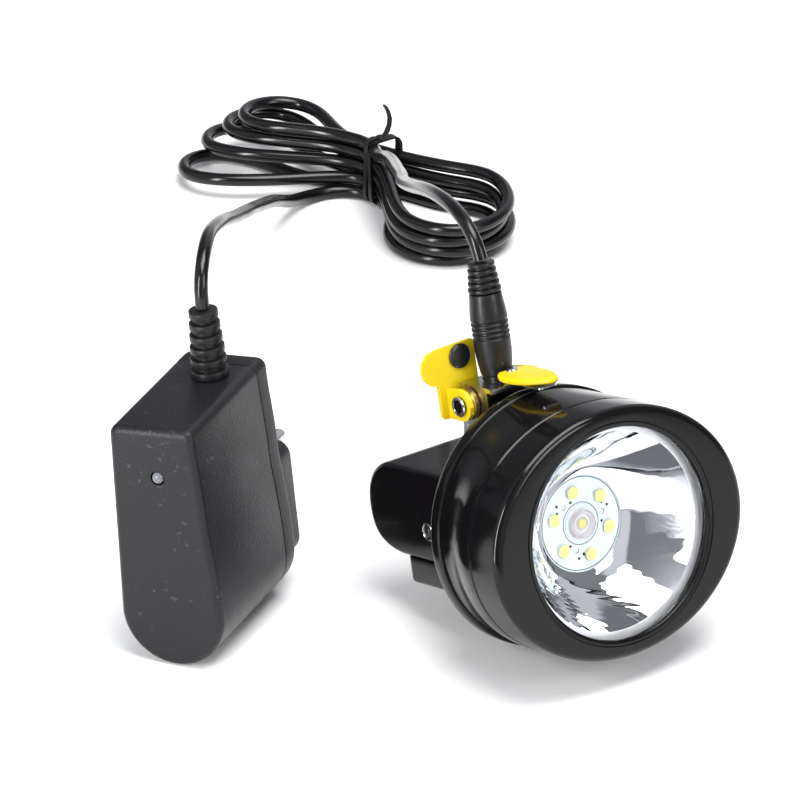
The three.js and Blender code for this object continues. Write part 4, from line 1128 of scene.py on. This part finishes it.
back_cavity = slab(charger_outline(CHARGER_WALL), CHARGER_SEAM - 1, CHARGER_BACK - CHARGER_WALL,
                   0, axis="Y")
piece("charger_back", slab(charger_outline(), CHARGER_SEAM + 0.3, CHARGER_BACK, 0.25, 2.0,
                           axis="Y", steps=6),
      "charger_matte", CHARGER, ["charger_back_shell"], cuts=[back_cavity])
pin_block = slab(rounded_rect(25, 36, 5, 0, PIN_MIDDLE), CHARGER_BACK - 1.6, PIN_BASE, 0.1, 2.0,
                 axis="Y", steps=6)
pin_holes = [moved(turned(disc(2.3, PIN_BASE - 6, PIN_BASE + 1), sides=40), z=PIN_MIDDLE + side)
             for side in (-PIN_APART, PIN_APART)]
piece("charger_pin_block", pin_block, "charger_matte", CHARGER, cuts=pin_holes)

pin_rows = [(0, PIN_BASE - 5.7), (2, PIN_BASE - 5.7), (2, PIN_BASE + 17.6)]
pin_rows += [(2 * math.cos(t), PIN_BASE + 17.6 + 1.4 * math.sin(t))
             for t in np.linspace(0.2, math.pi / 2 - 0.1, 6)] + [(0, PIN_BASE + 19)]
for side, word in ((-PIN_APART, "lower"), (PIN_APART, "upper")):
    piece(f"charger_pin_{word}", moved(turned(pin_rows, sides=48), z=PIN_MIDDLE + side),
          "steel", CHARGER, [f"mains_pin_{word}"])

led_rows = [(0, -1.0), (0.6, -0.93), (1.15, -0.65), (1.6, -0.15), (1.8, 0.4), (1.8, 3), (0, 3)]
led = piece("charger_light", moved(turned(led_rows, sides=48), x=CHARGER_LED[0],
                                   z=CHARGER_LED[1]), "window_clear", CHARGER, ["charger_led"])
led.data.materials[0] = led_grey

relief = joined(turned(ringed_relief(CHARGER_TALL + 0.3, 6, 22, 5.6, 4.3, 1.2), "Z", 96),
                turned(disc(3, CHARGER_TALL - 6, CHARGER_TALL + 0.4), "Z", 48))
piece("charger_cord_relief", moved(relief, *CHARGER_RELIEF), "rubber_black", CHARGER,
      ["charger_relief"])
print("charger", CHARGER_TALL, "mm tall")

# %% [markdown]
# ## The twist tie
#
# A flat paper-covered wire goes twice round the bundle's neck, is twisted into a short knot on
# top, and both its ends stick out. Each part is one ribbon swept along a few points, its width
# held to one direction.

# %% Tie ribbons
NECK_HALF = 5.6
BUNDLE_TOP = 21.4
RIBBON_SECTION = [(-0.5, -0.5), (-0.42, -0.5), (0.42, -0.5), (0.5, -0.5), (0.5, 0.5), (0.42, 0.9),
                  (0, 0.6), (-0.42, 0.9), (-0.5, 0.5)]


def ribbon(points, wide, thick, across, closed=False):
    points = [Vector(p) for p in points]
    count = len(points)
    corners = []
    for i, p in enumerate(points):
        before = points[i - 1] if closed or i else p
        after = points[(i + 1) % count] if closed or i < count - 1 else p
        along = (after - before).normalized()
        side = Vector(across)
        side = (side - along * side.dot(along)).normalized()
        lift = along.cross(side).normalized()
        for a, b in RIBBON_SECTION:
            corners.append(tuple(p + side * a * wide + lift * b * thick))
    ring_size = len(RIBBON_SECTION)
    faces = bands(count, ring_size, closed)
    if not closed:
        faces.append(list(range(ring_size))[::-1])
        faces.append(list(range(len(corners) - ring_size, len(corners))))
    return corners, faces


def wrap(along, drop):
    middle_y = TIE_PLACE[1] + along
    tall = BUNDLE_TOP - 0.2
    outline = rounded_rect(2 * NECK_HALF + 1.2, tall, 3.2, TIE_PLACE[0], tall / 2 + 0.65, 10)
    outline = distinct(outline)
    return [(x, middle_y + drop * (z / tall - 0.5), z) for x, z in outline]


WORLD = Matrix.Identity(4)
KNOT_Z = BUNDLE_TOP + 0.3
tie_x, tie_y = TIE_PLACE
tie_parts = [ribbon(wrap(-1.4, 1.4), 1.7, 0.6, (0, 1, 0), closed=True),
             ribbon(wrap(0.9, -1.2), 1.7, 0.6, (0, 1, 0), closed=True)]
knot = []
for step in range(17):
    angle = step * 0.8
    knot.append((tie_x - 1 + 0.8 * math.cos(angle), tie_y - 1.9 + step * 0.2,
                 KNOT_Z + 0.75 + 0.35 * math.sin(angle)))
tie_parts.append(ribbon(knot, 1.6, 0.7, (0, 1, 0.3)))
tie_ends = (
    [(0, 0, 0.5), (1.8, 0.6, 1.6), (3.0, 0.8, 3.8), (3.2, 0.7, 6.4), (2.4, 0.5, 9.0),
     (1.0, 0.2, 11.4)],
    [(-1, 0.4, 0.5), (-3.2, 0.9, 0.8), (-5.2, 0.8, 0.6), (-6.3, 0.4, -0.6), (-6.5, 0, -3)],
)
for end in tie_ends:
    tie_parts.append(ribbon([(tie_x + x, tie_y + y, KNOT_Z + z) for x, y, z in end],
                            1.9, 0.5, (0, 1, 0.1)))
piece("tie_wraps", joined(*tie_parts), "rubber_black", WORLD, ["twist_tie"])
print("tie round a neck", 2 * NECK_HALF, "mm wide")

# %% [markdown]
# ## The cord's finish and place
#
# The cord leaves the charger, is tied in its bundle and ends in the charging plug. It takes the
# place of three solids of the frame: its two legs and the bundle's block.

# %% Cord
charging_cord.data.materials.append(finishes["cord_black"])
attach(charging_cord, "lamp")
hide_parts("cord_charger_leg", "cord_hank", "cord_plug_leg")

# %% [markdown]
# ## Floor and light
#
# The floor is pale and matt. One tall soft light stands to the left and gives the bezel its long
# bright edge, one lies overhead for the flat top of the housing, and a wide weak one fills from
# the right so the black parts keep their shape.

# %% Floor, world and lights
FLOOR_HALF = 6
floor_mesh = bpy.data.meshes.new("floor")
corners = [(-FLOOR_HALF, -FLOOR_HALF, 0), (FLOOR_HALF, -FLOOR_HALF, 0),
           (FLOOR_HALF, FLOOR_HALF, 0), (-FLOOR_HALF, FLOOR_HALF, 0)]
floor_mesh.from_pydata(corners, [], [(0, 1, 2, 3)])
floor = add_object("floor", floor_mesh)
floor.location.z = -0.0001
pale = new_material("pale_floor", Base_Color=(0.86, 0.86, 0.86, 1), Roughness=0.85)[0]
floor_mesh.materials.append(pale)

world = bpy.data.worlds.new("studio")
bpy.context.scene.world = world
world.use_nodes = True
nodes = Nodes(world.node_tree)
ahead = nodes.add("ShaderNodeSeparateXYZ", {"Vector": nodes.place("Generated")})
turn = nodes.maths("ARCTAN2", ahead.outputs["Y"], ahead.outputs["X"])
wave = nodes.maths("SINE", nodes.maths("MULTIPLY", turn, 3.0))
panels = nodes.ramp(nodes.number(wave, 0.5, 1.0),
                    [(0.42, (0.03, 0.03, 0.035)), (0.7, (0.93, 0.95, 1.0))])
background = world.node_tree.nodes["Background"]
nodes.link(panels, background.inputs["Color"])
background.inputs["Strength"].default_value = 0.8

HEAD = (0, 0, 0.05)
for name, azimuth, elevation, distance, width, tall, power in (
        ("tall_left", -82, 16, 1.0, 0.14, 0.9, 13), ("overhead", 15, 80, 1.3, 1.0, 0.8, 26),
        ("front_right", 20, 26, 1.6, 0.5, 0.7, 9)):
    data = bpy.data.lights.new(name, "AREA")
    data.shape = "RECTANGLE"
    data.size, data.size_y = width, tall
    data.energy = power
    aimed(name, data, azimuth, elevation, distance, HEAD)
bpy.context.scene.view_settings.view_transform = "Standard"
